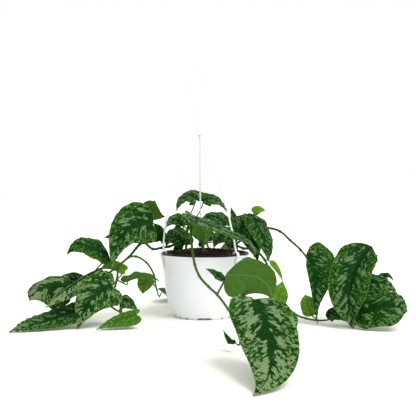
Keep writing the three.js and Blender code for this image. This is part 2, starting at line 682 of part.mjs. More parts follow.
const LEAVES = [
  // The left group, from the rim outward.
  {
    name: "leaf_left_01", vine: "left", node: 4, width: 86, face: [-0.2, -0.9, 0.35], fine: true,
    lobe: [1, 0.1], full: [0, -0.4], slant: 0.06,
    rib: [[-93, -60, 175], [-122, -68, 188], [-164, -84, 160], [-163, -98, 98]],
  },
  {
    name: "leaf_left_02", vine: "left", node: 3, width: 76, face: [-0.1, -0.15, 0.97], fold: [62, 66],
    cup: 15, slant: 0.16,
    rib: [[-124, -26, 187], [-108, -16, 180], [-90, -4, 180], [-76, 6, 187]],
  },
  {
    name: "leaf_left_03", vine: "crown_left", node: 0, width: 32, face: [0.3, -0.9, 0.2], slant: -0.3,
    rib: [[-84, -2, 141], [-80, -6, 157], [-85, -8, 167], [-96, -8, 175]],
  },
  {
    name: "leaf_left_04", vine: "left", node: 7, width: 50, face: [0.1, -0.6, 0.8], lobe: [0.6, 0],
    full: [0.9, 0.4], slant: 0.04, bow: [-18, -8, 8],
    rib: [[-171, -65, 116], [-194, -75, 130], [-222, -85, 158], [-245, -80, 123]],
  },
  {
    name: "leaf_left_05", vine: "left", node: 8, width: 76, face: [-0.05, -0.95, 0.3], fold: [-4, -30],
    cup: [30, 44], lobe: [1, 0.4], full: [1.2, 1.7], slant: -0.08, stalk: 0.8,
    rib: [[-238, -94, 68], [-258, -100, 75], [-294, -114, 72], [-303, -120, 47]],
  },
  {
    name: "leaf_left_06", vine: "left", node: 6, width: 46, face: [-0.3, -0.5, 0.8], fold: [-27, -20],
    cup: [23, 26], lobe: [0.3, 1], full: [0.6, 0], slant: -0.16, stalk: 0.7,
    rib: [[-183, -82, 99], [-204, -94, 93], [-238, -120, 72], [-270, -148, 38]],
  },
  {
    name: "leaf_left_07", vine: "left", node: 8, width: 60, face: [-0.1, -0.5, 0.86], full: [0.2, 0.7],
    wave: 0.6,
    rib: [[-210, -112, 31], [-245, -124, 19], [-285, -150, 10], [-322, -178, 3]],
  },
  {
    name: "leaf_left_08", vine: "left_low", node: 0, width: 73, face: [0.05, -0.9, 0.42], fine: true,
    lobe: [1, 0.9], slant: -0.04,
    rib: [[-162, -98, 68], [-186, -122, 68], [-206, -143, 44], [-215, -147, 3]],
  },
  {
    name: "leaf_left_09", vine: "left_low", node: 2, width: 34, face: [0.15, -0.8, 0.6], lobe: [0.3, 1],
    slant: 0.4,
    rib: [[-150, -84, 41], [-141, -89, 47], [-130, -94, 40], [-117, -96, 23]],
  },
  {
    name: "leaf_left_10", vine: "left_low", node: 4, width: 37, face: [0, -0.5, 0.87], fold: [0, 12],
    lobe: [0.8, 1], slant: -0.1, wave: 0.5,
    rib: [[-117, -130, 23], [-134, -136, 20], [-157, -146, 14], [-182, -158, 3]],
  },
  {
    name: "leaf_left_11", vine: "left_low", node: 0, width: 27, face: [0, -0.6, 0.8], lobe: 0.7,
    full: 0.5, wave: 0.4, young: true,
    rib: [[-145, -48, 90], [-159, -52, 103], [-177, -55, 104], [-188, -56, 93]],
  },
  {
    name: "leaf_left_12", vine: "left_young", node: 3, width: 33, face: [-0.2, -0.95, 0.1], lobe: 0.6,
    full: 0.5, wave: 0.5, young: true,
    rib: [[-106, -19, 75], [-110, -24, 69], [-114, -26, 58], [-115, -26, 44]],
  },
  {
    name: "leaf_left_13", vine: "left_low", node: 0, width: 46, face: [0, 0.1, 1], fold: [20, 42],
    cup: 20,
    rib: [[-142, -52, 70], [-128, -50, 79], [-106, -42, 80], [-84, -30, 69]],
  },
  {
    name: "leaf_left_14", vine: "left", node: 3, width: 20, face: [-0.1, -0.7, 0.7], fused: true,
    rib: [[-147, -45, 146], [-159, -50, 153], [-172, -52, 155], [-183, -53, 150]],
  },
  {
    name: "leaf_left_15", vine: "left", node: 8, width: 30, face: [0, -0.9, 0.4], fused: true,
    rib: [[-224, -50, 64], [-234, -50, 79], [-263, -54, 79], [-275, -54, 58]],
  },

  // The crown above the soil, from left to right.
  {
    name: "leaf_crown_01", vine: "crown_left", node: 1, width: 44, face: [-0.3, -0.55, 0.78],
    rib: [[-16, 66, 220], [-25, 68, 231], [-50, 69, 225], [-55, 62, 195]],
  },
  {
    name: "leaf_crown_02", vine: "crown_left", node: 0, width: 38, face: [0.25, -0.6, 0.75],
    lobe: [1, 0.6], slant: 0.1,
    rib: [[-4, 80, 215], [9, 82, 227], [32, 88, 221], [45, 90, 193]],
  },
  {
    name: "leaf_crown_03", vine: "front", node: 1, width: 34, face: [-0.1, -0.8, 0.6],
    rib: [[-42, -40, 172], [-49, -42, 187], [-61, -45, 185], [-70, -46, 169]],
  },
  {
    name: "leaf_crown_04", vine: "crown_left", node: 0, width: 46, face: [0, -0.85, 0.5],
    rib: [[-38, -10, 134], [-49, -16, 156], [-65, -20, 156], [-72, -20, 132]],
  },
  {
    name: "leaf_crown_05", vine: "front", node: 3, width: 50, face: [0.05, -0.2, 0.97], fine: true,
    lobe: 0.6,
    rib: [[-33, -82, 195], [19, -90, 164], [101, -98, 154], [87, -94, 118]],
  },
  {
    name: "leaf_crown_06", vine: "crown_middle", node: 1, width: 50, face: [0, 1, 0.15], cup: 20,
    wave: 0.6,
    rib: [[-3, -38, 174], [-6, -36, 164], [-1, -35, 150], [4, -38, 139]],
  },
  {
    name: "leaf_crown_07", vine: "crown_right", node: 1, width: 40, face: [0, -0.6, 0.8],
    rib: [[40, -16, 171], [29, -13, 189], [7, -11, 193], [-7, -10, 181]],
  },
  {
    name: "leaf_crown_08", vine: "crown_right", node: 0, width: 36, face: [0, -0.9, 0.4],
    rib: [[48, -31, 151], [37, -36, 159], [21, -37, 150], [17, -37, 130]],
  },
  {
    name: "leaf_crown_09", vine: "crown_right", node: 1, width: 18, face: [0.2, -0.9, 0.3],
    rib: [[60, -20, 165], [58, -19, 177], [53, -16, 192], [49, -15, 206]],
  },
  {
    name: "leaf_crown_10", vine: "crown_right", node: 1, width: 42, face: [0.1, -0.85, 0.5],
    full: [1.5, 0.3],
    rib: [[61, -35, 152], [69, -30, 168], [77, -26, 180], [76, -24, 194]],
  },
  {
    name: "leaf_crown_11", vine: "right_arch", node: 1, width: 18, face: [0, -0.95, 0.3], cup: 20,
    lobe: 0.5, wave: 0.3, young: true,
    rib: [[91, -10, 195], [98, -12, 201], [108, -14, 202], [114, -14, 197]],
  },
  {
    name: "leaf_crown_12", vine: "right_arch", node: 0, width: 40, face: [0.25, -0.9, 0.3], fine: true,
    lobe: [0, 0.6], full: [1.0, 0], slant: 0.05,
    rib: [[89, -30, 193], [98, -45, 170], [113, -52, 140], [116, -55, 108]],
  },
  {
    name: "leaf_crown_13", vine: "crown_right", node: 0, width: 40, face: [-0.2, -0.9, 0.3],
    rib: [[81, -12, 162], [88, -18, 150], [95, -24, 130], [99, -26, 104]],
  },
  {
    name: "leaf_crown_14", vine: "right_low", node: 2, width: 11, face: [-0.3, -0.9, 0.3], lobe: 0.4,
    young: true,
    rib: [[119, -64, 109], [128, -68, 101], [137, -70, 87], [141, -70, 72]],
  },
  {
    name: "leaf_crown_15", vine: "right_low", node: 4, width: 34, face: [0.1, -0.9, 0.35], young: true,
    rib: [[130, -90, 40], [132, -92, 52], [136, -94, 64], [138, -93, 76]],
  },

  // The front, towards the table's edge.
  {
    name: "leaf_front_01", vine: "front", node: 9, width: 90, face: [0.1, 0.8, 0.6], fine: true,
    lobe: [0.4, -0.2], full: [1.5, 0.4], slant: -0.12,
    rib: [[34, -222, 103], [61, -218, 101], [100, -206, 109], [110, -202, 63]],
  },
  {
    name: "leaf_front_02", vine: "front", node: 9, width: 18, face: [0, -0.6, 0.8], lobe: 0.2,
    rib: [[33, -232, 95], [23, -232, 102], [12, -232, 110], [2, -232, 113]],
  },
  {
    name: "leaf_front_03", vine: "front", node: 11, width: 82, face: [0, -0.75, 0.65], fine: true,
    lobe: [0.3, 0.8], full: [0.6, 0.5],
    rib: [[69, -392, 89], [76, -440, 72], [101, -502, 20], [58, -555, 3]],
  },
  {
    name: "leaf_front_04", vine: "front", node: 11, width: 12, face: [0, -0.5, 0.85], lobe: 0,
    fused: true,
    rib: [[46, -326, 15], [40, -320, 12], [33, -312, 18], [28, -305, 30]],
  },

  // The right group, from the arching vine outward.
  {
    name: "leaf_right_01", vine: "right_arch", node: 5, width: 56, face: [-0.1, -0.95, 0.25],
    fine: true, twist: 50, lobe: [1, 0], full: [-0.7, 0], slant: -0.65,
    rib: [[184, -64, 121], [199, -86, 95], [193, -106, 52], [196, -114, 4]],
  },
  {
    name: "leaf_right_02", vine: "right_arch", node: 8, width: 78, face: [-0.1, -0.92, 0.35],
    fine: true, fold: [56, 8], lobe: [0, 0.1], full: [1.5, 0.9], slant: 0.06,
    rib: [[299, -80, 137], [265, -100, 112], [237, -125, 63], [251, -157, 5]],
  },
  {
    name: "leaf_right_03", vine: "right_arch", node: 8, width: 32, face: [0.3, -0.8, 0.5],
    rib: [[288, -46, 88], [297, -49, 102], [308, -52, 113], [315, -55, 119]],
  },
  {
    name: "leaf_right_04", vine: "right_arch", node: 9, width: 64, face: [0, -0.65, 0.75],
    lobe: [0.2, 1], slant: 0.35,
    rib: [[283, -76, 66], [297, -88, 81], [320, -100, 77], [338, -104, 58]],
  },
  {
    name: "leaf_right_05", vine: "right_arch", node: 9, width: 66, face: [0, -0.7, 0.7], lobe: [1, 0.4],
    full: [2.2, 1.3], slant: 0.12, wave: 0.6,
    rib: [[256, -132, 24], [282, -143, 37], [329, -154, 48], [344, -148, 31]],
  },
  {
    name: "leaf_right_06", vine: "right_arch", node: 9, width: 16, face: [0.2, -0.7, 0.7],
    rib: [[319, -62, 75], [325, -64, 85], [336, -65, 88], [342, -66, 71]],
  },
  {
    name: "leaf_right_07", vine: "right_low", node: 7, width: 29, face: [-0.2, -0.9, 0.3], lobe: 0.4,
    full: 0.8, young: true,
    rib: [[190, -92, 14], [186, -92, 28], [181, -90, 42], [179, -88, 51]],
  },
  {
    name: "leaf_right_08", vine: "right_low", node: 8, width: 34, face: [0.1, -0.6, 0.8], lobe: 0.2,
    full: 0.5, slant: 0.25, wave: 0.4,
    rib: [[213, -104, 15], [228, -112, 33], [247, -120, 24], [262, -130, 4]],
  },
  {
    name: "leaf_right_09", vine: "right_low", node: 5, width: 16, face: [0.2, -0.8, 0.5], fused: true,
    rib: [[146, -120, 26], [152, -130, 23], [158, -136, 14], [158, -140, 3]],
  },

  // Behind the pot.
  {
    name: "leaf_back_01", vine: "back", node: 2, width: 66, face: [-0.2, 0.8, 0.55],
    rib: [[30, 120, 112], [40, 140, 108], [46, 156, 84], [44, 156, 50]],
  },
  {
    name: "leaf_back_02", vine: "back", node: 3, width: 70, face: [0.1, 0.85, 0.5], fine: true,
    rib: [[-18, 128, 96], [-30, 150, 92], [-42, 164, 64], [-44, 162, 26]],
  },
  {
    name: "leaf_back_03", vine: "back", node: 5, width: 62, face: [0.1, 0.5, 0.85],
    rib: [[6, 142, 34], [18, 164, 40], [30, 190, 30], [36, 208, 4]],
  },
  {
    name: "leaf_back_04", vine: "back", node: 7, width: 60, face: [-0.1, 0.4, 0.9],
    rib: [[-64, 150, 26], [-74, 172, 34], [-80, 196, 24], [-82, 216, 4]],
  },
  {
    name: "leaf_back_05", vine: "back", node: 0, width: 44, face: [0.2, -0.9, 0.4], lobe: [1, 0.7],
    rib: [[38, 50, 137], [48, 45, 147], [62, 42, 152], [78, 44, 147]],
  },
  {
    name: "leaf_back_06", vine: "back", node: 0, width: 42, face: [-0.1, -0.9, 0.4], lobe: [0.7, 1],
    rib: [[7, 50, 136], [1, 46, 146], [-8, 42, 152], [-20, 44, 152]],
  },
];

for (const leaf of LEAVES) {
  grow(leaf);
}

add("soil", geometryOf(soil), POTTING_SOIL);
for (const [name, { stem, isShoot }] of Object.entries(vines)) {
  if (!isShoot) {
    add(`vine_${name}`, geometryOf(stem.body), STEM_GREEN);
  }
}

export default plant;
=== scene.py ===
# Satin pothos in a white hanging pot: the looks of each piece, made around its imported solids.
# Sizes are in millimetres unless a name says metres, and become metres where a mesh is made.

import json
import math
import random

import bmesh
import bpy
import numpy as np
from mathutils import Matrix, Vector, noise

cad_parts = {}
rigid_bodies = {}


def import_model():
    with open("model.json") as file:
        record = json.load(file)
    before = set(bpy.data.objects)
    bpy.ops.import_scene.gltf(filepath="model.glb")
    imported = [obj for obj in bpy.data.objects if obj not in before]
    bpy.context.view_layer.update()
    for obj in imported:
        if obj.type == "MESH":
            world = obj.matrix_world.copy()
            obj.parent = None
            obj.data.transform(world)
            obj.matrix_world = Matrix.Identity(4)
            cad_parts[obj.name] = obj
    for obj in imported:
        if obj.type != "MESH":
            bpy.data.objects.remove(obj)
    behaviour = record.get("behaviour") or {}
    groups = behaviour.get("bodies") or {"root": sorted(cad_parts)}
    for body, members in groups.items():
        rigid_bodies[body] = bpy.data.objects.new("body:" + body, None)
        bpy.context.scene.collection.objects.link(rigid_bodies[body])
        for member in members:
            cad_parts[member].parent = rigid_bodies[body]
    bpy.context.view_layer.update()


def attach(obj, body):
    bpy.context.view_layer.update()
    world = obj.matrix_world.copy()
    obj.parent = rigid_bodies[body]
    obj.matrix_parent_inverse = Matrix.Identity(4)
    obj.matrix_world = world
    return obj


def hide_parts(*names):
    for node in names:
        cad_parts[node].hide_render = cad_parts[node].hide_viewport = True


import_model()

# ---------------- studio
# A white room with a seamless pale floor, one broad lamp high at the front right and a white sky
# all round. The camera stands well back, just above the rim of the pot.

MM = 0.001
PICTURE = 416  # pixels across the square picture
FOCAL = 743  # pixels
HORIZON = 189  # the height of the camera, in pixels from the top
POT_AXIS = 204.5  # pixels from the left



def put(name, data):
    """A new object in the scene."""
    thing = bpy.data.objects.new(name, data)
    bpy.context.collection.objects.link(thing)
    return thing


camera = put("camera", bpy.data.cameras.new("camera"))
camera.data.sensor_width = 36
camera.data.lens = 36 * FOCAL / PICTURE
camera.location = (0, -1.404, 0.239)
tilt = math.atan((PICTURE / 2 - HORIZON) / FOCAL)
yaw = math.atan((PICTURE / 2 - POT_AXIS) / FOCAL)
camera.rotation_euler = (math.pi / 2 - tilt, 0, -yaw)
bpy.context.scene.camera = camera
bpy.context.scene.view_settings.view_transform = "Standard"

sky = bpy.data.worlds.new("sky")
sky.use_nodes = True
sky.node_tree.nodes["Background"].inputs["Color"].default_value = (1, 1, 1, 1)
sky.node_tree.nodes["Background"].inputs["Strength"].default_value = 1.0
bpy.context.scene.world = sky

lamp = put("lamp", bpy.data.lights.new("lamp", "SUN"))
lamp.data.energy = 2.6
lamp.data.angle = math.radians(35)
lamp.data.color = (1.0, 0.985, 0.95)
lamp.rotation_euler = Vector((0.55, -0.45, 1.0)).to_track_quat("Z", "Y").to_euler()


class Look:
    """A material under construction. Each call adds a node and gives back what it puts out."""

    def __init__(self, name, roughness, specular=0.5):
        self.material = bpy.data.materials.new(name)
        self.material.use_nodes = True
        self.tree = self.material.node_tree
        self.shader = self.tree.nodes["Principled BSDF"]
        self.shader.inputs["Roughness"].default_value = roughness
        self.shader.inputs["Specular IOR Level"].default_value = specular

    def node(self, kind, inputs, **settings):
        node = self.tree.nodes.new(kind)
        for key, value in settings.items():
            setattr(node, key, value)
        for key, value in inputs.items():
            if isinstance(value, bpy.types.NodeSocket):
                self.tree.links.new(value, node.inputs[key])
            else:
                node.inputs[key].default_value = value
        return node

    def attribute(self, name):
        """The three numbers of a vector kept in the mesh."""
        vector = self.node("ShaderNodeAttribute", {}, attribute_name=name).outputs["Vector"]
        return self.node("ShaderNodeSeparateXYZ", {0: vector}).outputs

    def noise(self, vector, size, detail=2.0, roughness=0.5, distortion=0.0):
        inputs = {"Vector": vector, "Scale": 1 / size, "Detail": detail}
        inputs.update({"Roughness": roughness, "Distortion": distortion})
        return self.node("ShaderNodeTexNoise", inputs).outputs[0]

    def grain(self, size, detail=2.0, roughness=0.5):
        """Noise of that size in metres, fixed to the piece."""
        place = self.node("ShaderNodeTexCoord", {}).outputs["Object"]
        return self.noise(place, size, detail, roughness)

    def sum(self, kind, a, b=0.0, c=0.0, clamp=False):
        inputs = {0: a, 1: b, 2: c}
        return self.node("ShaderNodeMath", inputs, operation=kind, use_clamp=clamp).outputs[0]

    def plus(self, a, b):
        return self.sum("ADD", a, b)

    def times(self, a, b):
        return self.sum("MULTIPLY", a, b)

    def scaled(self, value, factor, extra=0.0, clamp=False):
        """The value times the factor, and the extra on top."""
        return self.sum("MULTIPLY_ADD", value, factor, extra, clamp)

    def swing(self, value, size):
        """The value less a half, times the size."""
        return self.times(self.sum("SUBTRACT", value, 0.5), size)

    def step(self, value, low, high):
        inputs = {"Value": value, "From Min": low, "From Max": high}
        smooth = {"interpolation_type": "SMOOTHSTEP"}
        return self.node("ShaderNodeMapRange", inputs, **smooth).outputs[0]

    def mix(self, share, a, b):
        colours = [(*c, 1) if isinstance(c, tuple) else c for c in (a, b)]
        inputs = {0: share, 6: colours[0], 7: colours[1]}
        return self.node("ShaderNodeMix", inputs, data_type="RGBA").outputs[2]

    def bump(self, height, distance, strength=1.0):
        inputs = {"Height": height, "Distance": distance * MM, "Strength": strength}
        self.give("Normal", self.node("ShaderNodeBump", inputs).outputs[0])

    def colour(self, value):
        self.give("Base Color", value)

    def rough(self, value, low, high):
        """Roughness from low to high as the value goes from 0 to 1."""
        self.give("Roughness", self.node("ShaderNodeMapRange", {0: value, 3: low, 4: high}).outputs[0])

    def give(self, name, value):
        self.tree.links.new(value, self.shader.inputs[name])


paper = Look("seamless_floor", 0.9, 0.1)
paper_mottle = paper.grain(0.4)
paper.colour(paper.mix(paper_mottle, (0.84, 0.84, 0.78), (0.87, 0.87, 0.81)))
FLOOR_HALF = 30  # metres
floor_mesh = bpy.data.meshes.new("floor")
corners = [(x * FLOOR_HALF, y * FLOOR_HALF, 0) for x, y in ((-1, -1), (1, -1), (1, 1), (-1, 1))]
floor_mesh.from_pydata(corners, [], [(0, 1, 2, 3)])
floor_mesh.materials.append(paper.material)
floor = put("floor", floor_mesh)

# ---------------- outer pot
# The outer pot is one thin moulding of glossy white plastic. Its wall flares to a small lip, and
# drain notches are cut into the ring that it stands on. Faint mould lines run round it.

POT_HEIGHT = 117
RIM_RADIUS = 85
POT_WALL = 2
FOOT_RECESS = 4.6
PAD_RADIUS = 46
RING_INSIDE = 54
NOTCH_HEIGHT = 4.2
WIDE_NOTCH = 27
NARROW_NOTCH = 4
NARROW_NOTCH_ANGLES = (-49.5, -33, 33, 49.5)
OUTER_WALL = ((57, 0), (58.8, 1.2), (61.6, 7), (64.6, 14), (69.9, 29), (73.7, 48), (77.5, 80), (82.4, 110))
MOULD_LINES = (10.5, 80, 104)
FLOOR_TOP = FOOT_RECESS + 2.4
LIP_UNDER = POT_HEIGHT - 3.2
SHARP = 35  # degrees between two faces from which their edge stays sharp


def steps(path):
    """The length of each straight step of a path."""
    return np.linalg.norm(np.diff(path, axis=0), axis=1)


def reach_along(path):
    """How far along the path each of its points lies."""
    return np.append(0, np.cumsum(steps(path)))


def evenly(path, count):
    """The same path as that many points, evenly spaced."""
    reach = reach_along(path)
    wanted = np.linspace(0, reach[-1], count)
    return np.column_stack([np.interp(wanted, reach, axis) for axis in path.T])


def smooth_path(knots, count):
    """A smooth path through the knots, as evenly spaced points."""
    knots = np.array(knots, float)
    first, last = 2 * knots[:1] - knots[1:2], 2 * knots[-1:] - knots[-2:-1]
    spread = np.vstack((first, knots, last))
    t = np.linspace(0, 1, 16, endpoint=False)[:, None]
    runs = []
    for a, b, c, d in zip(spread, spread[1:], spread[2:], spread[3:]):
        ab, bc, cd = (np.linalg.norm(q - p) ** 0.5 + 1e-6 for p, q in ((a, b), (b, c), (c, d)))
        leave = ((b - a) / ab - (c - a) / (ab + bc) + (c - b) / bc) * bc
        land = ((c - b) / bc - (d - b) / (bc + cd) + (d - c) / cd) * bc
        run = (2 * t**3 - 3 * t**2 + 1) * b + (t**3 - 2 * t**2 + t) * leave
        runs.append(run + (3 * t**2 - 2 * t**3) * c + (t**3 - t**2) * land)
    return evenly(np.vstack((*runs, knots[-1:])), count)


def rounded(corners, radius, turns=4):
    """A line with its inner corners rounded off."""
    corners = [np.array(c, float) for c in corners]
    line = [corners[0]]
    for before, corner, after in zip(corners, corners[1:], corners[2:]):
        ends = []
        for other in (before, after):
            span = np.linalg.norm(other - corner)
            ends.append(corner + (other - corner) * min(0.45, radius / span))
        for t in np.linspace(0, 1, turns + 1):
            line.append((1 - t) ** 2 * ends[0] + 2 * t * (1 - t) * corner + t * t * ends[1])
    return line + [corners[-1]]


def turned(profile, turns, x=0):
    """A closed piece turned round an upright axis. Its profile starts and ends on the axis."""
    angles = np.linspace(0, 2 * math.pi, turns, endpoint=False)
    inner = profile[1:-1]
    points = [(x, 0, profile[0][1])]
    for radius, height in inner:
        points += [(x + radius * math.cos(a), radius * math.sin(a), height) for a in angles]
    points.append((x, 0, profile[-1][1]))
    faces = []
    last = len(points) - 1
    for k in range(turns):
        n = (k + 1) % turns
        faces.append((0, 1 + n, 1 + k))
        faces.append((last, last - turns + k, last - turns + n))
        for row in range(len(inner) - 1):
            a, b = 1 + row * turns, 1 + (row + 1) * turns
            faces.append((a + k, a + n, b + n, b + k))
    return points, faces


def make_mesh(name, points, faces, looks, face_looks=None, sharp=SHARP):
    """A mesh in metres from points in millimetres, shaded smooth but for its sharp edges."""
    mesh = bpy.data.meshes.new(name)
    mesh.from_pydata((np.array(points, float) * MM).tolist(), [], faces)
    for look in looks:
        mesh.materials.append(look.material)
    if face_looks is not None:
        mesh.polygons.foreach_set("material_index", face_looks)
    outward = bmesh.new()
    outward.from_mesh(mesh)
    bmesh.ops.recalc_face_normals(outward, faces=outward.faces)
    outward.to_mesh(mesh)
    outward.free()
    mesh.polygons.foreach_set("use_smooth", [True] * len(mesh.polygons))
    mesh.set_sharp_from_angle(angle=math.radians(sharp))
    return mesh


def fit(mesh, slot, *nodes):
    """The mesh as a piece of the plant or its pot, in place of these solids."""
    piece = put(mesh.name, mesh)
    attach(piece, "root")
    if nodes:
        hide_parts(*nodes)
    return piece


def combine(mesh, tool, operation):
    """The mesh with another one cut out of it or joined to it."""
    pair = [put(part.name, part) for part in (mesh, tool)]
    change = pair[0].modifiers.new("change", "BOOLEAN")
    change.operation = operation
    change.solver = "EXACT"
    change.object = pair[1]
    seen = pair[0].evaluated_get(bpy.context.evaluated_depsgraph_get())
    result = bpy.data.meshes.new_from_object(seen)
    name = mesh.name
    for thing, part in zip(pair, (mesh, tool)):
        bpy.data.objects.remove(thing)
        bpy.data.meshes.remove(part)
    result.name = name
    result.set_sharp_from_angle(angle=math.radians(SHARP))
    return result


def joined(parts):
    """Several sets of points and faces as one."""
    points, faces = [], []
    for some_points, some_faces in parts:
        faces += [tuple(len(points) + i for i in face) for face in some_faces]
        points += [tuple(p) for p in some_points]
    return points, faces


def prism(outline, reach):
    """An outline in X and Z, pushed through along -Y, to cut with."""
    near = [(x, -reach[0], z) for x, z in outline]
    far = [(x, -reach[1], z) for x, z in outline]
    count = len(outline)
    sides = [(i, (i + 1) % count, count + (i + 1) % count, count + i) for i in range(count)]
    return near + far, sides + [tuple(range(count))[::-1], tuple(range(count, 2 * count))]


def spun(part, degrees):
    """The part turned about the pot's axis."""
    points, faces = part
    turn = math.radians(degrees)
    c, s = math.cos(turn), math.sin(turn)
    return [(x * c - y * s, x * s + y * c, z) for x, y, z in points], faces


white = Look("white_moulded_plastic", 0.32, 0.5)
white_mottle = white.grain(0.05, 3)
white.colour(white.mix(white_mottle, (0.74, 0.765, 0.80), (0.78, 0.80, 0.83)))
scuffs = white.grain(0.012, 4, 0.6)
white.rough(scuffs, 0.26, 0.44)
white.bump(white.grain(0.0014, 2), 0.05, 0.3)

wall = [tuple(p) for p in smooth_path(OUTER_WALL[1:], 46)]
for i, (radius, height) in enumerate(wall):
    groove = sum(0.22 * math.exp(-(((height - line) / 1.1) ** 2)) for line in MOULD_LINES)
    wall[i] = (radius - groove, height)
inside_wall = [(radius - POT_WALL, height) for radius, height in wall if height > 14]
pot_profile = rounded(
    [(0, 0), (PAD_RADIUS, 0), (PAD_RADIUS, FOOT_RECESS), (RING_INSIDE, FOOT_RECESS), (RING_INSIDE, 0)]
    + [OUTER_WALL[0]] + wall
    + [(82.8, LIP_UNDER), (RIM_RADIUS, LIP_UNDER + 0.6), (RIM_RADIUS, POT_HEIGHT)]
    + [(RIM_RADIUS - 4.2, POT_HEIGHT)] + inside_wall[::-1]
    + [(57.4, FLOOR_TOP), (PAD_RADIUS - POT_WALL, FLOOR_TOP), (PAD_RADIUS - POT_WALL, POT_WALL)]
    + [(0, POT_WALL)],
    0.6,
    2,
)
pot_mesh = make_mesh("white_pot", *turned(pot_profile, 144), [white])

NOTCH_REACH = (RING_INSIDE - 1, RING_INSIDE + 15)
half, bevel = WIDE_NOTCH / 2, 1.6
wide_outline = [(-half, -3), (half, -3), (half, NOTCH_HEIGHT - bevel), (half - bevel, NOTCH_HEIGHT)]
wide_outline += [(bevel - half, NOTCH_HEIGHT), (-half, NOTCH_HEIGHT - bevel)]
half = NARROW_NOTCH / 2
narrow_outline = [(-half, -3), (half, -3), (half, NOTCH_HEIGHT - 1), (0, NOTCH_HEIGHT)]
narrow_outline += [(-half, NOTCH_HEIGHT - 1)]
notches = []
for third in (0, 120, 240):
    notches.append(spun(prism(wide_outline, NOTCH_REACH), third))
    notches += [spun(prism(narrow_outline, NOTCH_REACH), third + a) for a in NARROW_NOTCH_ANGLES]
notch_tool = make_mesh("notches", *joined(notches), [white])
fit(combine(pot_mesh, notch_tool, "DIFFERENCE"), "white_plastic", "pot")

# ---------------- grow pot
# The plant's own pot is blown from thin black plastic and stands inside the white one. Only its
# rolled lip shows, a dark line on top of the white rim.

GAP = 0.3
LINER_WALL = 1
LINER_PLAY = 0.6
LINER_FOOT = FLOOR_TOP + GAP
LINER_TOP = POT_HEIGHT + GAP + 2.4
LINER_LIP_RADIUS = 83.6
LINER_MOUTH = 78.6

black = Look("black_thin_plastic", 0.4, 0.25)
dust = black.grain(0.006, 4, 0.7)
dusty = black.step(dust, 0.5, 0.75)
black.colour(black.mix(dusty, (0.003, 0.003, 0.006), (0.012, 0.011, 0.010)))
black.rough(dust, 0.3, 0.6)
black.bump(black.grain(0.004, 2), 0.15, 0.3)

liner_outside = [(radius - LINER_PLAY, height) for radius, height in inside_wall[2:]]
liner_inside = [(radius - LINER_WALL, height) for radius, height in liner_outside]
liner_profile = rounded(
    [(0, LINER_FOOT), (56, LINER_FOOT)] + liner_outside + [(79.9, POT_HEIGHT + GAP)]
    + [(LINER_LIP_RADIUS, POT_HEIGHT + GAP), (LINER_LIP_RADIUS, LINER_TOP), (LINER_MOUTH, LINER_TOP)]
    + liner_inside[::-1]
    + [(55, LINER_FOOT + LINER_WALL), (0, LINER_FOOT + LINER_WALL)],
    0.8,
    3,
)
fit(make_mesh("black_grow_pot", *turned(liner_profile, 120), [black]), "black_plastic", "grow_pot")

# ---------------- soil
# Loose potting mix fills the grow pot to just under its lip: dark peat in crumbs, chips of brown
# bark and a few bits of straw, heaped a little in the middle where the stems stand.

SOIL_RADIUS = 77.6
SOIL_EDGE = 115
SOIL_MOUND = 11
LUMPS_SUNK = 0.6
CRUMBS, CHIPS, STRAWS = 2600, 330, 46


def soil_height(x, y):
    out = min(1, math.hypot(x, y) / SOIL_RADIUS)
    mound = SOIL_MOUND * (1 - out * out)
    lumps = math.sin(x * 0.11 + 1.3) * math.cos(y * 0.13 - 0.6) + 0.6 * math.sin((x - y) * 0.21)
    return SOIL_EDGE + mound + lumps * (1 - out)


def soil_lumps(x, y):
    """The small unevenness on top of the heap."""
    coarse = noise.noise((x * 0.16, y * 0.16, 3.1))
    fine = noise.noise((x * 0.5, y * 0.5, 8.7))
    return 1.3 * coarse + 0.6 * fine


def soil_surface(x, y):
    return soil_height(x, y) + soil_lumps(x, y) - LUMPS_SUNK


peaty = Look("potting_mix", 0.95, 0.15)
grains = peaty.grain(0.0022, 5, 0.7)
patches = peaty.grain(0.016, 3)
peat = peaty.mix(grains, (0.003, 0.0022, 0.0018), (0.026, 0.016, 0.011))
peaty.colour(peaty.mix(peaty.step(patches, 0.45, 0.75), peat, (0.028, 0.014, 0.008)))
peaty.bump(grains, 1.2, 0.9)

SOIL_TURNS = 150
soil_rings = np.linspace(0, SOIL_RADIUS, 56)[1:]
soil_profile = [(0, LINER_FOOT + LINER_WALL + GAP), (54.4, LINER_FOOT + LINER_WALL + GAP)]
soil_profile += [(radius - GAP, height) for radius, height in liner_inside[2:12:3]]
soil_profile += [(radius, SOIL_EDGE) for radius in soil_rings[::-1]] + [(0, SOIL_EDGE)]
soil_points, soil_faces = turned(soil_profile, SOIL_TURNS)
for i, (x, y, z) in enumerate(soil_points):
    if z > SOIL_EDGE - 0.01:
        soil_points[i] = (x, y, soil_surface(x, y))
fit(make_mesh("soil_heap", soil_points, soil_faces, [peaty], sharp=180), "potting_soil", "soil")

dice = random.Random(11)
golden = (1 + math.sqrt(5)) / 2
LUMP_POINTS = [(0, s, t * golden) for s in (-1, 1) for t in (-1, 1)]
LUMP_POINTS += [(s, t * golden, 0) for s in (-1, 1) for t in (-1, 1)]
LUMP_POINTS += [(t * golden, 0, s) for s in (-1, 1) for t in (-1, 1)]
lump_shape = bmesh.new()
for place in LUMP_POINTS:
    lump_shape.verts.new(place)
bmesh.ops.convex_hull(lump_shape, input=lump_shape.verts)
lump_shape.verts.index_update()
LUMP_FACES = [tuple(v.index for v in face.verts) for face in lump_shape.faces]
LUMP_POINTS = [tuple(v.co / 1.9) for v in lump_shape.verts]
lump_shape.free()


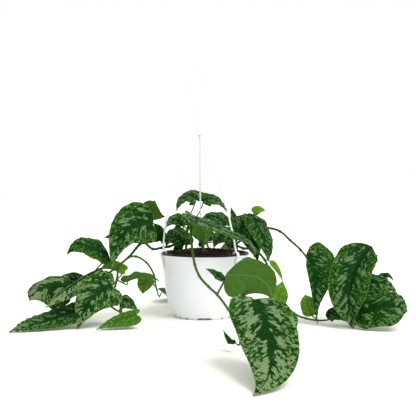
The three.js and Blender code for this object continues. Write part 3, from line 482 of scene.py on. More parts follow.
def scattered(count, radius, sizes, sink):
    """Small uneven lumps dropped at random over the heap. sizes gives a lump's three half sizes."""
    parts = []
    for _ in range(count):
        reach = radius * math.sqrt(dice.random())
        turn = dice.random() * 2 * math.pi
        x, y = reach * math.cos(turn), reach * math.sin(turn)
        a, b, c = sizes()
        lie = dice.random() * math.pi
        lean = dice.uniform(-0.35, 0.35)
        z = soil_surface(x, y) + c * sink
        points = []
        for px, py, pz in LUMP_POINTS:
            wobble = dice.uniform(0.8, 1.2)
            px, py, pz = px * a * wobble, py * b * wobble, pz * c * wobble
            px, pz = px * math.cos(lean) - pz * math.sin(lean), px * math.sin(lean) + pz * math.cos(lean)
            points.append((
                x + px * math.cos(lie) - py * math.sin(lie),
                y + px * math.sin(lie) + py * math.cos(lie),
                z + pz,
            ))
        parts.append((points, LUMP_FACES))
    return joined(parts)


def crumb():
    size = dice.uniform(0.6, 2.0)
    return size, size * dice.uniform(0.7, 1), size * dice.uniform(0.6, 0.9)


def chip():
    size = dice.uniform(2.2, 5)
    return size, size * dice.uniform(0.35, 0.6), dice.uniform(0.5, 1.1)


def straw():
    return dice.uniform(4, 10), dice.uniform(0.5, 0.9), dice.uniform(0.3, 0.5)


bark = Look("bark_chips", 0.85, 0.2)
fibre = bark.grain(0.0012, 3, 0.6)
patch = bark.grain(0.008, 1)
brown = bark.mix(patch, (0.02, 0.009, 0.006), (0.10, 0.048, 0.026))
bark.colour(bark.mix(fibre, (0.012, 0.006, 0.004), brown))
bark.bump(fibre, 0.5)
straw_look = Look("straw_bits", 0.7, 0.3)
stalks = straw_look.grain(0.003, 3)
straw_look.colour(straw_look.mix(stalks, (0.16, 0.07, 0.02), (0.5, 0.3, 0.11)))
straw_look.bump(stalks, 0.3)

fit(make_mesh("soil_crumbs", *scattered(CRUMBS, 77, crumb, 0.2), [peaty], sharp=50), "potting_soil")
fit(make_mesh("soil_bark", *scattered(CHIPS, 75, chip, 0.6), [bark], sharp=40), "potting_soil")
fit(make_mesh("soil_straw", *scattered(STRAWS, 70, straw, 1.6), [straw_look], sharp=50), "potting_soil")

# ---------------- hanger
# The hanger is moulded in the same white plastic. A flat hook grows from a small hub, and three
# thin legs bow out from under the hub and snap over the rim of the pot with a curled clip.

HUB_X, HUB_BOTTOM, HUB_TOP = -8.5, 340, 353
HOOK_X, HOOK_Z, HOOK_RADIUS = -17, 447, 19.3
HOOK_BAND, HOOK_DEPTH = 9, 5
HOOK_OPEN, HOOK_NECK = -22, 215
LEG_RADIUS = 1.6
LEG_SPREAD = 3.3
CLIP_WIDTH = 7
CLIP_THICKNESS = 1.8
CLIP_CREST = (81.6, 124.2)
CLIP_MIDDLE = (
    (76.5, 118.4), (76.2, 121), (78.2, 123.4), CLIP_CREST, (85, 123), (86.7, 119.6), (86.7, 113),
    (84.6, 109.4), (83.4, 103), (82.3, 95), (81.8, 92),
)
ROUND = [(math.cos(a), math.sin(a)) for a in np.linspace(0, 2 * math.pi, 12, endpoint=False)]
SQUARENESS = 0.45  # 1 is round, and less is nearer a rectangle


def squared(value):
    return math.copysign(abs(value) ** SQUARENESS, value)


SQUARISH = [
    (squared(math.cos(a)), squared(math.sin(a)))
    for a in np.linspace(math.pi / 20, 2 * math.pi + math.pi / 20, 20, endpoint=False)
]


def swept(path, section, sizes, flat_side=None):
    """A closed bar with this section along a path. sizes gives its two half widths at each place.
    flat_side is the way that the second half width always points."""
    path = np.array(path, float)
    sizes = np.array(sizes, float)
    way = np.gradient(path, axis=0)
    way /= np.linalg.norm(way, axis=1)[:, None]
    side = np.array(flat_side if flat_side is not None else np.cross(way[0], (0.31, 0.89, 0.27)), float)
    points = []
    for place, ahead, (wide, deep) in zip(path, way, sizes):
        leftover = side - ahead * side.dot(ahead)
        second = leftover / np.linalg.norm(leftover)
        if flat_side is None:
            side = second
        first = np.cross(ahead, second)
        points += [place + first * (a * wide) + second * (b * deep) for a, b in section]
    count = len(section)
    faces = []
    for i in range(len(path) - 1):
        for k in range(count):
            n = (k + 1) % count
            faces.append((i * count + k, i * count + n, (i + 1) * count + n, (i + 1) * count + k))
    end = (len(path) - 1) * count
    faces.append(tuple(range(count))[::-1])
    faces.append(tuple(range(end, end + count)))
    return points, faces


def blunt(sizes, at_start=True):
    """The half widths with the bar's ends drawn in, so that they are rounded."""
    sizes = [tuple(pair) for pair in sizes]
    draw = (0.45, 0.8, 0.95)
    for i, share in enumerate(draw):
        if at_start:
            sizes[i] = tuple(share * s for s in sizes[i])
        sizes[-1 - i] = tuple(share * s for s in sizes[-1 - i])
    return sizes


neck = smooth_path([(HUB_X, HUB_TOP - 5), (HUB_X - 3, 378), (HUB_X - 13, 405), (-29.5, 424)], 12)
arc = []
for angle in np.radians(np.linspace(HOOK_NECK, HOOK_OPEN, 40)):
    arc.append((HOOK_X + HOOK_RADIUS * math.cos(angle), HOOK_Z + HOOK_RADIUS * math.sin(angle)))
hook_line = smooth_path([*neck[:-1:3], *arc[::3], arc[-1]], 90)
hook_path = [(x, 0, z) for x, z in hook_line]
hook_share = np.linspace(0, 1, len(hook_path))
hook_wide = np.interp(hook_share, (0, 0.4, 0.93, 1), (3.4, HOOK_BAND / 2, HOOK_BAND / 2, HOOK_BAND * 0.3))
hook_sizes = blunt([(wide, HOOK_DEPTH / 2) for wide in hook_wide], at_start=False)
hook_mesh = make_mesh("white_hook", *swept(hook_path, SQUARISH, hook_sizes, (0, 1, 0)), [white])
hub_profile = rounded(
    [(0, HUB_BOTTOM), (6, HUB_BOTTOM), (5.6, HUB_BOTTOM + 5), (4.2, HUB_TOP), (0, HUB_TOP)], 1.2
)
hub_mesh = make_mesh("hub", *turned(hub_profile, 40, HUB_X), [white])
fit(combine(hook_mesh, hub_mesh, "UNION"), "white_plastic", "hanger_hook")


def hanger_leg(name, degrees, bends):
    """A round leg from the crest of its clip up to the hub, and the clip, bent from a flat strap."""
    angle = math.radians(degrees)
    way = np.array((math.sin(angle), -math.cos(angle), 0))
    along_rim = np.array((math.cos(angle), math.sin(angle), 0))
    foot = way * CLIP_CREST[0] + (0, 0, CLIP_CREST[1] - 0.5)
    head = way * LEG_SPREAD + (HUB_X, 0, HUB_BOTTOM + 0.5)
    below = head + way * LEG_RADIUS - (0, 0, 9)
    path = smooth_path([foot, *bends, below, head], 60)
    share = np.linspace(0, 1, len(path))
    radius = LEG_RADIUS * (1 + 0.35 * np.exp(-share * 22))
    rod = make_mesh(name, *swept(path, ROUND, np.column_stack((radius, radius))), [white])
    strap_line = smooth_path(CLIP_MIDDLE, 44)
    strap_path = [way * radius + (0, 0, height) for radius, height in strap_line]
    strap_sizes = blunt([(CLIP_THICKNESS / 2, CLIP_WIDTH / 2)] * len(strap_path))
    strap = make_mesh("strap", *swept(strap_path, SQUARISH, strap_sizes, along_rim), [white])
    fit(combine(rod, strap, "UNION"), "white_plastic", "hanger_" + name)


hanger_leg("leg_left", -68, [
    (-75.3, -30, 146), (-71.5, -28.5, 178), (-64, -25.5, 208), (-48, -18.5, 250),
    (-30, -10.5, 292), (-17, -4.5, 322),
])
hanger_leg("leg_right", 44.5, [
    (53.5, -54, 146), (46.8, -47.5, 178), (41.2, -41.5, 205), (27, -28, 250),
    (11, -14.5, 292), (-1.5, -5, 322),
])
hanger_leg("leg_back", 185, [
    (-7.8, 77, 146), (-8.2, 72, 178), (-8.4, 64, 208), (-8.5, 48, 250),
    (-8.5, 29, 292), (-8.5, 13, 322),
])

# ---------------- stems and leaf stalks
# The plant climbs and trails on round green stems, rooted in the soil and swollen at each node. A
# leaf stalk grows from a node, wrapped at its foot by a thin sheath that dries to brown, with the
# stub of an aerial root on the other side.

GROUND = SOIL_EDGE + SOIL_MOUND
STALK_RADIUS = 1.3
VINE_STEP, STALK_STEP = 1.6, 1.5
STEM_CLEARANCE = 0.4
SHEATH_LENGTH = 9
VINES = {
    "left": dict(root=(-56, -6), radius=2.4, youth=0.2, nodes=[
        (-66, -10, 131), (-80, -14, 129), (-96, -20, 127), (-113, -38, 140), (-137, -60, 116),
        (-155, -72, 101), (-177, -68, 84), (-198, -68, 66), (-216, -72, 48), (-234, -80, 30),
        (-252, -86, 12),
    ]),
    "left_low": dict(parent=("left", 5), radius=2, youth=0.15, nodes=[
        (-157, -78, 76), (-164, -80, 52), (-168, -96, 36), (-148, -108, 24), (-128, -110, 17),
    ]),
    "left_young": dict(parent=("left", 4), radius=2, youth=0.7, nodes=[
        (-124, -62, 117), (-106, -46, 104), (-94, -28, 80), (-91, -10, 54), (-86, 6, 35), (-81, 20, 43),
    ]),
    "front": dict(root=(-34, -26), radius=2.4, youth=0.25, nodes=[
        (-34, -31, 140), (-31, -42, 166), (-27, -56, 177), (-25, -70, 170), (-24, -79, 150),
        (-21, -87, 127), (-17, -100, 106), (-9, -125, 89), (7, -170, 76), (20, -225, 71),
        (35, -290, 59), (49, -350, 44), (64, -388, 26), (80, -420, 8),
    ]),
    "right_arch": dict(root=(62, 18), radius=2.3, youth=0.15, nodes=[
        (80, 14, 146), (100, 8, 160), (119, 0, 165), (141, -14, 160), (159, -26, 144),
        (177, -38, 127), (192, -40, 108), (215, -42, 76), (243, -50, 42), (272, -62, 26),
        (296, -76, 18),
    ]),
    "right_low": dict(root=(58, -34), radius=2.3, youth=0, nodes=[
        (72, -44, 130), (90, -54, 130), (108, -58, 112), (124, -62, 76), (140, -72, 38),
        (162, -86, 16), (179, -94, 10), (200, -98, 7), (219, -100, 8),
    ]),
    "crown_left": dict(root=(-50, 14), radius=2.3, youth=0.3, nodes=[(-50, 12, 134), (-50, 8, 146)]),
    "crown_middle": dict(root=(-2, -46), radius=2.2, youth=0.3, nodes=[(-2, -46, 134), (0, -44, 146)]),
    "crown_right": dict(root=(48, -4), radius=2.2, youth=0.3, nodes=[(50, -5, 134), (53, -6, 146)]),
    "back": dict(root=(-4, 56), radius=2.3, youth=0.3, nodes=[
        (-1, 70, 132), (4, 88, 130), (10, 101, 110), (8, 108, 80), (0, 112, 48), (-14, 120, 20),
        (-34, 130, 8), (-56, 138, 6),
    ]),
}


def grown(name, vine, node, width, face, *rib, **shape):
    return dict(name=name, vine=vine, node=node, width=width, face=face, rib=rib, **shape)


# Each leaf: the vine and node that it grows from, how wide it is, the way its top faces, and four
# points that bend its midrib, from the notch to the tip. fold, cup, lobe and full are for both
# halves, or for one and then the other. silver is how much of its top is silver, fresh is how far
# it still has the yellow green of a new leaf, and a fused one has no solid apart from its vine's.
LEAVES = [
    grown("left_01", "left", 4, 86, (-0.2, -0.9, 0.35), (-93, -60, 175), (-122, -68, 188),
        (-164, -84, 160), (-163, -98, 98), lobe=(1, 0.1), full=(0, -0.4), slant=0.06, silver=0.45),
    grown("left_02", "left", 3, 76, (-0.1, -0.15, 0.97), (-124, -26, 187), (-108, -16, 180),
        (-90, -4, 180), (-76, 6, 187), fold=(62, 66), cup=15, slant=0.16, silver=0.3),
    grown("left_03", "crown_left", 0, 32, (0.3, -0.9, 0.2), (-84, -2, 141), (-80, -6, 157),
        (-85, -8, 167), (-96, -8, 175), slant=-0.3, silver=0.1),
    grown("left_04", "left", 7, 50, (0.1, -0.6, 0.8), (-171, -65, 116), (-194, -75, 130),
        (-222, -85, 158), (-245, -80, 123), lobe=(0.6, 0), full=(0.9, 0.4), slant=0.04, bow=(-18, -8, 8),
        silver=0.3),
    grown("left_05", "left", 8, 76, (-0.05, -0.95, 0.3), (-238, -94, 68), (-258, -100, 75),
        (-294, -114, 72), (-303, -120, 47), fold=(-4, -30), cup=(30, 44), lobe=(1, 0.4), full=(1.2, 1.7),
        slant=-0.08, stalk=0.8, silver=0.55),
    grown("left_06", "left", 6, 46, (-0.3, -0.5, 0.8), (-183, -82, 99), (-204, -94, 93), (-238, -120, 72),
        (-270, -148, 38), fold=(-27, -20), cup=(23, 26), lobe=(0.3, 1), full=(0.6, 0), slant=-0.16,
        stalk=0.7, silver=0.6),
    grown("left_07", "left", 8, 60, (-0.1, -0.5, 0.86), (-210, -112, 31), (-245, -124, 19),
        (-285, -150, 10), (-322, -178, 3), full=(0.2, 0.7), wave=0.6, silver=0.42),
    grown("left_08", "left_low", 0, 73, (0.05, -0.9, 0.42), (-162, -98, 68), (-186, -122, 68),
        (-206, -143, 44), (-215, -147, 3), lobe=(1, 0.9), slant=-0.04, silver=0.5),
    grown("left_09", "left_low", 2, 34, (0.15, -0.8, 0.6), (-150, -84, 41), (-141, -89, 47),
        (-130, -94, 40), (-117, -96, 23), slant=0.4, lobe=(0.3, 1), silver=0.45),
    grown("left_10", "left_low", 4, 37, (0, -0.5, 0.87), (-117, -130, 23), (-134, -136, 20),
        (-157, -146, 14), (-182, -158, 3), fold=(0, 12), lobe=(0.8, 1), slant=-0.1, wave=0.5, silver=0.4,
        fresh=0.2),
    grown("left_11", "left_low", 0, 27, (0, -0.6, 0.8), (-145, -48, 90), (-159, -52, 103),
        (-177, -55, 104), (-188, -56, 93), young=True, wave=0.4, full=0.5, lobe=0.7, fresh=1.0),
    grown("left_12", "left_young", 3, 33, (-0.2, -0.95, 0.1), (-106, -19, 75), (-110, -24, 69),
        (-114, -26, 58), (-115, -26, 44), young=True, lobe=0.6, full=0.5, wave=0.5, fresh=0.45),
    grown("left_13", "left_low", 0, 46, (0, 0.1, 1), (-142, -52, 70), (-128, -50, 79), (-106, -42, 80),
        (-84, -30, 69), fold=(20, 42), cup=20, silver=0.4),
    grown("left_14", "left", 3, 20, (-0.1, -0.7, 0.7), (-147, -45, 146), (-159, -50, 153),
        (-172, -52, 155), (-183, -53, 150), fused=True, silver=0.4),
    grown("crown_01", "crown_left", 1, 44, (-0.3, -0.55, 0.78), (-16, 66, 220), (-25, 68, 231),
        (-50, 69, 225), (-55, 62, 195), silver=0.45),
    grown("crown_02", "crown_left", 0, 38, (0.25, -0.6, 0.75), (-4, 80, 215), (9, 82, 227), (32, 88, 221),
        (45, 90, 193), lobe=(1, 0.6), slant=0.1, silver=0.45),
    grown("crown_03", "front", 1, 34, (-0.1, -0.8, 0.6), (-42, -40, 172), (-49, -42, 187),
        (-61, -45, 185), (-70, -46, 169), silver=0.4),
    grown("crown_04", "crown_left", 0, 46, (0, -0.85, 0.5), (-38, -10, 134), (-49, -16, 156),
        (-65, -20, 156), (-72, -20, 132), silver=0.35),
    grown("crown_05", "front", 3, 50, (0.05, -0.2, 0.97), (-33, -82, 195), (19, -90, 164),
        (101, -98, 154), (87, -94, 118), lobe=0.6, silver=0.5),
    grown("crown_06", "crown_middle", 1, 50, (0, 1, 0.15), (-3, -38, 174), (-6, -36, 164), (-1, -35, 150),
        (4, -38, 139), cup=20, wave=0.6),
    grown("crown_07", "crown_right", 1, 40, (0, -0.6, 0.8), (40, -16, 171), (29, -13, 189), (7, -11, 193),
        (-7, -10, 181), silver=0.45),
    grown("crown_08", "crown_right", 0, 36, (0, -0.9, 0.4), (48, -31, 151), (37, -36, 159),
        (21, -37, 150), (17, -37, 130), silver=0.4),
    grown("crown_09", "crown_right", 1, 18, (0.2, -0.9, 0.3), (60, -20, 165), (58, -19, 177),
        (53, -16, 192), (49, -15, 206), silver=0.4),
    grown("crown_10", "crown_right", 1, 42, (0.1, -0.85, 0.5), (61, -35, 152), (69, -30, 168),
        (77, -26, 180), (76, -24, 194), full=(1.5, 0.3), silver=0.4),
    grown("crown_11", "right_arch", 1, 18, (0, -0.95, 0.3), (91, -10, 195), (98, -12, 201),
        (108, -14, 202), (114, -14, 197), cup=20, wave=0.3, lobe=0.5, young=True),
    grown("crown_12", "right_arch", 0, 40, (0.25, -0.9, 0.3), (89, -30, 193), (98, -45, 170),
        (113, -52, 140), (116, -55, 108), lobe=(0, 0.6), full=(1.0, 0), slant=0.05, silver=0.4),
    grown("crown_13", "crown_right", 0, 40, (-0.2, -0.9, 0.3), (81, -12, 162), (88, -18, 150),
        (95, -24, 130), (99, -26, 104), silver=0.3),
    grown("crown_14", "right_low", 2, 11, (-0.3, -0.9, 0.3), (119, -64, 109), (128, -68, 101),
        (137, -70, 87), (141, -70, 72), young=True, lobe=0.4),
    grown("crown_15", "right_low", 4, 34, (0.1, -0.9, 0.35), (130, -90, 40), (132, -92, 52),
        (136, -94, 64), (138, -93, 76), young=True, fresh=0.55),
    grown("front_01", "front", 9, 90, (0.1, 0.8, 0.6), (34, -222, 103), (61, -218, 101), (100, -206, 109),
        (110, -202, 63), lobe=(0.4, -0.2), slant=-0.12, full=(1.5, 0.4), silver=0.5),
    grown("front_02", "front", 9, 18, (0, -0.6, 0.8), (33, -232, 95), (23, -232, 102), (12, -232, 110),
        (2, -232, 113), lobe=0.2, silver=0.3),
    grown("front_03", "front", 11, 82, (0, -0.75, 0.65), (69, -392, 89), (76, -440, 72), (101, -502, 20),
        (58, -555, 3), lobe=(0.3, 0.8), full=(0.6, 0.5), silver=0.6),
    grown("front_04", "front", 11, 12, (0, -0.5, 0.85), (46, -326, 15), (40, -320, 12), (33, -312, 18),
        (28, -305, 30), fused=True, lobe=0, silver=0),
    grown("right_01", "right_arch", 5, 56, (-0.1, -0.95, 0.25), (184, -64, 121), (199, -86, 95),
        (193, -106, 52), (196, -114, 4), twist=50, lobe=(1, 0), full=(-0.7, 0), slant=-0.65, silver=0.38),
    grown("right_02", "right_arch", 8, 78, (-0.1, -0.92, 0.35), (299, -80, 137), (265, -100, 112),
        (237, -125, 63), (251, -157, 5), lobe=(0, 0.1), full=(1.5, 0.9), fold=(56, 8), slant=0.06,
        silver=0.42),
    grown("right_03", "right_arch", 8, 32, (0.3, -0.8, 0.5), (288, -46, 88), (297, -49, 102),
        (308, -52, 113), (315, -55, 119), silver=0.35),
    grown("right_04", "right_arch", 9, 64, (0, -0.65, 0.75), (283, -76, 66), (297, -88, 81),
        (320, -100, 77), (338, -104, 58), lobe=(0.2, 1), slant=0.35, silver=0.42),
    grown("right_05", "right_arch", 9, 66, (0, -0.7, 0.7), (256, -132, 24), (282, -143, 37),
        (329, -154, 48), (344, -148, 31), wave=0.6, lobe=(1, 0.4), full=(2.2, 1.3), slant=0.12,
        silver=0.42),
    grown("right_06", "right_arch", 9, 16, (0.2, -0.7, 0.7), (319, -62, 75), (325, -64, 85),
        (336, -65, 88), (342, -66, 71), silver=0.2),
    grown("right_07", "right_low", 7, 29, (-0.2, -0.9, 0.3), (190, -92, 14), (186, -92, 28),
        (181, -90, 42), (179, -88, 51), young=True, lobe=0.4, full=0.8, fresh=0.4),
    grown("right_08", "right_low", 8, 34, (0.1, -0.6, 0.8), (213, -104, 15), (228, -112, 33),
        (247, -120, 24), (262, -130, 4), lobe=0.2, wave=0.4, slant=0.25, full=0.5, silver=0.35),
    grown("right_09", "right_low", 5, 16, (0.2, -0.8, 0.5), (146, -120, 26), (152, -130, 23),
        (158, -136, 14), (158, -140, 3), fused=True),
    grown("back_01", "back", 2, 66, (-0.2, 0.8, 0.55), (30, 120, 112), (40, 140, 108), (46, 156, 84),
        (44, 156, 50)),
    grown("back_02", "back", 3, 70, (0.1, 0.85, 0.5), (-18, 128, 96), (-30, 150, 92), (-42, 164, 64),
        (-44, 162, 26)),
    grown("back_03", "back", 5, 62, (0.1, 0.5, 0.85), (6, 142, 34), (18, 164, 40), (30, 190, 30),
        (36, 208, 4)),
    grown("back_04", "back", 7, 60, (-0.1, 0.4, 0.9), (-64, 150, 26), (-74, 172, 34), (-80, 196, 24),
        (-82, 216, 4)),
    grown("back_05", "back", 0, 44, (0.2, -0.9, 0.4), (38, 50, 137), (48, 45, 147), (62, 42, 152),
        (78, 44, 147), lobe=(1, 0.7)),
    grown("back_06", "back", 0, 42, (-0.1, -0.9, 0.4), (7, 50, 136), (1, 46, 146), (-8, 42, 152),
        (-20, 44, 152), lobe=(0.7, 1)),
    grown("left_15", "left", 8, 30, (0, -0.9, 0.4), (-224, -50, 64), (-234, -50, 79), (-263, -54, 79),
        (-275, -54, 58), fused=True),
]


def bezier(controls, t):
    """Points of a cubic curve and the ways along it, at each t."""
    a, b, c, d = (np.array(p, float) for p in controls)
    t = np.asarray(t, float)[..., None]
    place = (1 - t) ** 3 * a + 3 * t * (1 - t) ** 2 * b + 3 * t * t * (1 - t) * c + t**3 * d
    way = (1 - t) ** 2 * (b - a) + 2 * t * (1 - t) * (c - b) + t * t * (d - c)
    return place, way / np.linalg.norm(way, axis=-1, keepdims=True)


def rib_length(leaf):
    return steps(bezier(leaf["rib"], np.linspace(0, 1, 40))[0]).sum()


def blade_frame(leaf, t):
    """At each t of a leaf's midrib: its point, and the ways along, up from and across the blade."""
    place, along = bezier(leaf["rib"], t)
    face = np.array(leaf["face"], float)
    turn = np.radians(leaf.get("twist", 0) * (np.asarray(t, float) - 0.3))[..., None]
    across = np.cross(along, face)
    face = face * np.cos(turn) + across * np.sin(turn)
    face += along * (along * face).sum(-1, keepdims=True) * (1 - np.cos(turn))
    up = face - along * (along * face).sum(-1, keepdims=True)
    up /= np.linalg.norm(up, axis=-1, keepdims=True)
    return place, along, up, np.cross(along, up)


def vine_path(vine):
    if "parent" in vine:
        name, node = vine["parent"]
        knots = [VINES[name]["nodes"][node], *vine["nodes"]]
    else:
        knots = [(*vine["root"], GROUND + lift) for lift in (-22, -8, 0, 8)] + vine["nodes"]
    rough = smooth_path(knots, 200)
    return smooth_path(knots, max(24, int(steps(rough).sum() / VINE_STEP)))


class Bundle:
    """Bars gathered into one piece, with a tone for each point: its youth and its dryness."""

    def __init__(self):
        self.parts = []
        self.tones = []

    def add(self, path, radii, youth, dry=0):
        points, faces = swept(path, ROUND, blunt(np.column_stack((radii, radii))))
        reach = reach_along(path)
        share = reach / reach[-1]
        tone = np.column_stack((np.interp(share, (0, 1), youth), 0 * share + dry, 0 * share))
        self.parts.append((points, faces))
        self.tones.append(np.repeat(tone, len(ROUND), axis=0))

    def mesh(self, name, look):
        mesh = make_mesh(name, *joined(self.parts), [look], sharp=60)
        tone = mesh.attributes.new("stem_tone", "FLOAT_VECTOR", "POINT")
        tone.data.foreach_set("vector", np.vstack(self.tones).ravel())
        return mesh


stem = Look("green_stem", 0.5, 0.15)
stem_youth, stem_dry, _ = stem.attribute("stem_tone")
stem_mottle = stem.grain(0.004, 3, 0.6)
old_green = stem.mix(stem_mottle, (0.006, 0.024, 0.003), (0.022, 0.065, 0.008))
young_green = stem.mix(stem_mottle, (0.05, 0.15, 0.010), (0.10, 0.24, 0.025))
stem_green = stem.mix(stem_youth, old_green, young_green)
dry_noise = stem.plus(stem.grain(0.0017, 3, 0.7), stem_dry)
dry_brown = stem.mix(stem_mottle, (0.10, 0.05, 0.02), (0.26, 0.15, 0.06))
stem.colour(stem.mix(stem.step(dry_noise, 0.66, 0.9), stem_green, dry_brown))
stem.bump(stem.grain(0.0009, 2), 0.15, 0.5)


def lift_off_table(path, radii):
    low = path[:, 2] < radii + STEM_CLEARANCE
    path[low, 2] = radii[low] + STEM_CLEARANCE


def add_vine(bundle, vine):
    path = vine_path(vine)
    share = np.linspace(0, 1, len(path))
    radii = vine["radius"] * (1 - 0.4 * share**2)
    joints = vine["nodes"][:-1]
    for joint in joints:
        away = np.linalg.norm(path - np.array(joint), axis=1)
        radii = radii * (1 + 0.26 * np.exp(-((away / 2.6) ** 2)) - 0.05 * np.exp(-(((away - 4) / 1.2) ** 2)))
    lift_off_table(path, radii)
    bundle.add(path, radii, (vine["youth"], min(1, vine["youth"] + 0.25)))
    for joint in joints:
        i = int(np.argmin(np.linalg.norm(path - np.array(joint), axis=1)))
        if joint[2] < 9 or joint[2] < GROUND and math.hypot(joint[0], joint[1]) < SOIL_RADIUS:
            continue
        side = Vector((dice.uniform(-1, 1), dice.uniform(-1, 1), -1.2)).normalized()
        reach = dice.uniform(3, 6) * min(1, vine["radius"] / 2.2)
        stub = [path[i] + np.array(side) * reach * k for k in np.linspace(0.1, 1, 9)]
        bundle.add(np.array(stub), np.linspace(0.75, 0.35, 9), (0.3, 0.2), dry=0.22)


def add_stalk(bundle, leaf):
    vine = VINES[leaf["vine"]]
    young = leaf.get("young", False)
    radius = leaf.get("stalk", STALK_RADIUS)
    base, along, up, _ = (part[0] for part in blade_frame(leaf, [0.0]))
    length = rib_length(leaf)
    start = np.array(vine["nodes"][leaf["node"]], float)
    end = base - up * 0.9 + along * 1.2
    way = end - start
    span = np.linalg.norm(way)
    arrive = up * 0.95 + along * 0.3
    arrive /= np.linalg.norm(arrive)
    bow = np.array(leaf.get("bow", (0, 0, 0)), float)
    leave = start + way * 0.35 + bow
    land = end - arrive * min(0.4 * span, 0.5 * length) + 0.4 * bow
    curve = bezier((start, leave, land, end), np.linspace(0, 1, 60))[0]
    path = evenly(curve, max(14, int(span / STALK_STEP)))
    share = np.linspace(0, 1, len(path))
    radii = radius * (1 + 0.35 * np.clip(1 - share * 4, 0, 1) + 0.12 * np.clip((share - 0.93) / 0.07, 0, 1))
    lift_off_table(path, radii)
    youth = (0.9, 1) if young else (max(0.15, vine["youth"]), max(0.35, vine["youth"]))
    bundle.add(path, radii, youth)
    if span > 18 and not young and dice.random() < 0.7:
        wrap = path[: max(8, int(SHEATH_LENGTH / STALK_STEP))]
        lean = np.linspace(0, 1, len(wrap))[:, None] ** 2 * up * dice.uniform(0.5, 1.8)
        swell = radius * np.linspace(1.75, 0.5, len(wrap))
        bundle.add(wrap + lean, swell, (0.5, 0.3), dry=dice.uniform(0.05, 0.3))


leaves_of = {name: [leaf for leaf in LEAVES if leaf["vine"] == name] for name in VINES}
for name in [name for name, vine in VINES.items() if "root" in vine]:
    bundle = Bundle()
    for part in [name] + [other for other, vine in VINES.items() if vine.get("parent", [""])[0] == name]:
        add_vine(bundle, VINES[part])
        for leaf in leaves_of[part]:
            add_stalk(bundle, leaf)
    fit(bundle.mesh("stem_" + name, stem), "stem", "vine_" + name)

# ---------------- leaf blades
# Each leaf is one thick, satin heart with a long tip. Its top is dark green, splashed with silver
# between the side veins and speckled towards the edge; its underside is plain and paler. The
# blade is sunk along the midrib, puffed up between the side veins and a little wavy at the edge.

# From the notch to the tip: half width, how far along the edge and the midrib are, how far the
# edge drops back with a smaller lobe, and how much a fuller leaf adds to the width.
HALF_OUTLINE = (
    (0, 0, 0, 0, 0), (0.34, -0.095, 0.015, 0.16, 0), (0.74, -0.1, 0.05, 0.25, 0),
    (0.98, 0.05, 0.12, 0.18, 0), (1, 0.22, 0.22, 0.1, 0), (0.88, 0.43, 0.37, 0.04, 0.12),
    (0.63, 0.64, 0.55, 0.01, 0.3), (0.33, 0.82, 0.74, 0, 0.3), (0.11, 0.94, 0.9, 0, 0.1),
    (0, 1, 1, 0, 0),
)
ROWS, HALF_COLUMNS = 52, 18
VEIN_GAP = 15
BLADE_HALF_THICKNESS = 0.3
TABLE_CLEARANCE = 0.3
GROOVE, PUFF, RUFFLE, RIDGE = 0.6, 0.5, 0.9, 0.8  # relief of a full-sized blade
outline = smooth_path(HALF_OUTLINE, ROWS)
column = np.linspace(-1, 1, 2 * HALF_COLUMNS + 1)
shares = np.sign(column) * np.abs(column) ** 0.85


def both(value, side):
    """The value for each half, from one number or a pair."""
    minus, plus = value if isinstance(value, tuple) else (value, value)
    return np.where(side < 0, minus, plus)


def blade_grid(leaf):
    """The middle of the blade as a grid of points, and for each point its place in the leaf."""
    share = np.broadcast_to(shares, (ROWS, len(shares)))
    side = np.where(share < 0, -1, 1)
    wide, end, start, taper, more = (np.repeat(part[:, None], len(shares), axis=1) for part in outline.T)
    wide = np.clip(wide, 0, None) + np.clip(more, 0, None) * both(leaf.get("full", 0), side)
    end = end + taper * (1 - both(leaf.get("lobe", 1), side))
    reach = np.abs(share)
    place = start + (end - start) * reach**1.3
    length = rib_length(leaf)
    place = place + 0.02 * np.clip((place - 0.88) / 0.12, 0, 1) ** 2
    t = np.clip(place, 0, 1)
    point, along, up, right = blade_frame(leaf, t)
    half = leaf["width"] / 2 * (1 + side * leaf.get("slant", 0))
    lift = np.radians(both(leaf.get("fold", 12), side))
    curl = np.radians(both(leaf.get("cup", 30), side))
    across = reach * wide
    out = half / curl * (np.sin(lift) - np.sin(lift - curl * across))
    rise = half / curl * (np.cos(lift - curl * across) - np.cos(lift))
    rise += leaf.get("wave", 1.5) * across**2 * np.sin(17 * place + 2.2 * side)
    over = np.where(place > 1, place - 1, np.minimum(place, 0))
    grid = point + along * (over * length)[..., None] + right * (side * out)[..., None]
    grid += up * (rise - 0.5)[..., None]
    lateral = side * across * half
    vein = place * length - (0.55 + 0.75 * place) * np.abs(lateral)
    return grid, up, share, place, lateral, vein, length


def across_grid(grid, up):
    """The way straight up from the blade at each point."""
    down = np.gradient(grid, axis=0)
    over = np.gradient(grid, axis=1)
    normal = np.cross(down, over)
    size = np.linalg.norm(normal, axis=-1, keepdims=True)
    normal = np.where(size > 1e-3, normal / np.maximum(size, 1e-9), up)
    normal[0], normal[-1] = up[0], normal[-2]
    return normal * np.sign((normal * up).sum(-1, keepdims=True) + 1e-9)


def blade_faces():
    """Quads of the top, underside and edge of a blade, and which of the looks each one has."""
    width = len(shares)
    inner = (ROWS - 2) * width
    count = inner + 2
    faces, looks = [], []
    for base, look in ((0, 0), (count, 1)):
        for row in range(ROWS - 3):
            for k in range(width - 1):
                a = base + row * width + k
                faces.append((a, a + 1, a + width + 1, a + width))
                looks.append(look)
        for k in range(width - 1):
            faces.append((base + inner, base + k + 1, base + k))
            last = base + inner - width + k
            faces.append((base + inner + 1, last, last + 1))
            looks += [look, look]
    left = [row * width for row in range(ROWS - 2)]
    right = [row * width + width - 1 for row in range(ROWS - 2)]
    edge = [inner, *left, inner + 1, *right[::-1]]
    for a, b in zip(edge, edge[1:] + edge[:1]):
        faces.append((a, b, b + count, a + count))
        looks.append(1)
    return faces, looks


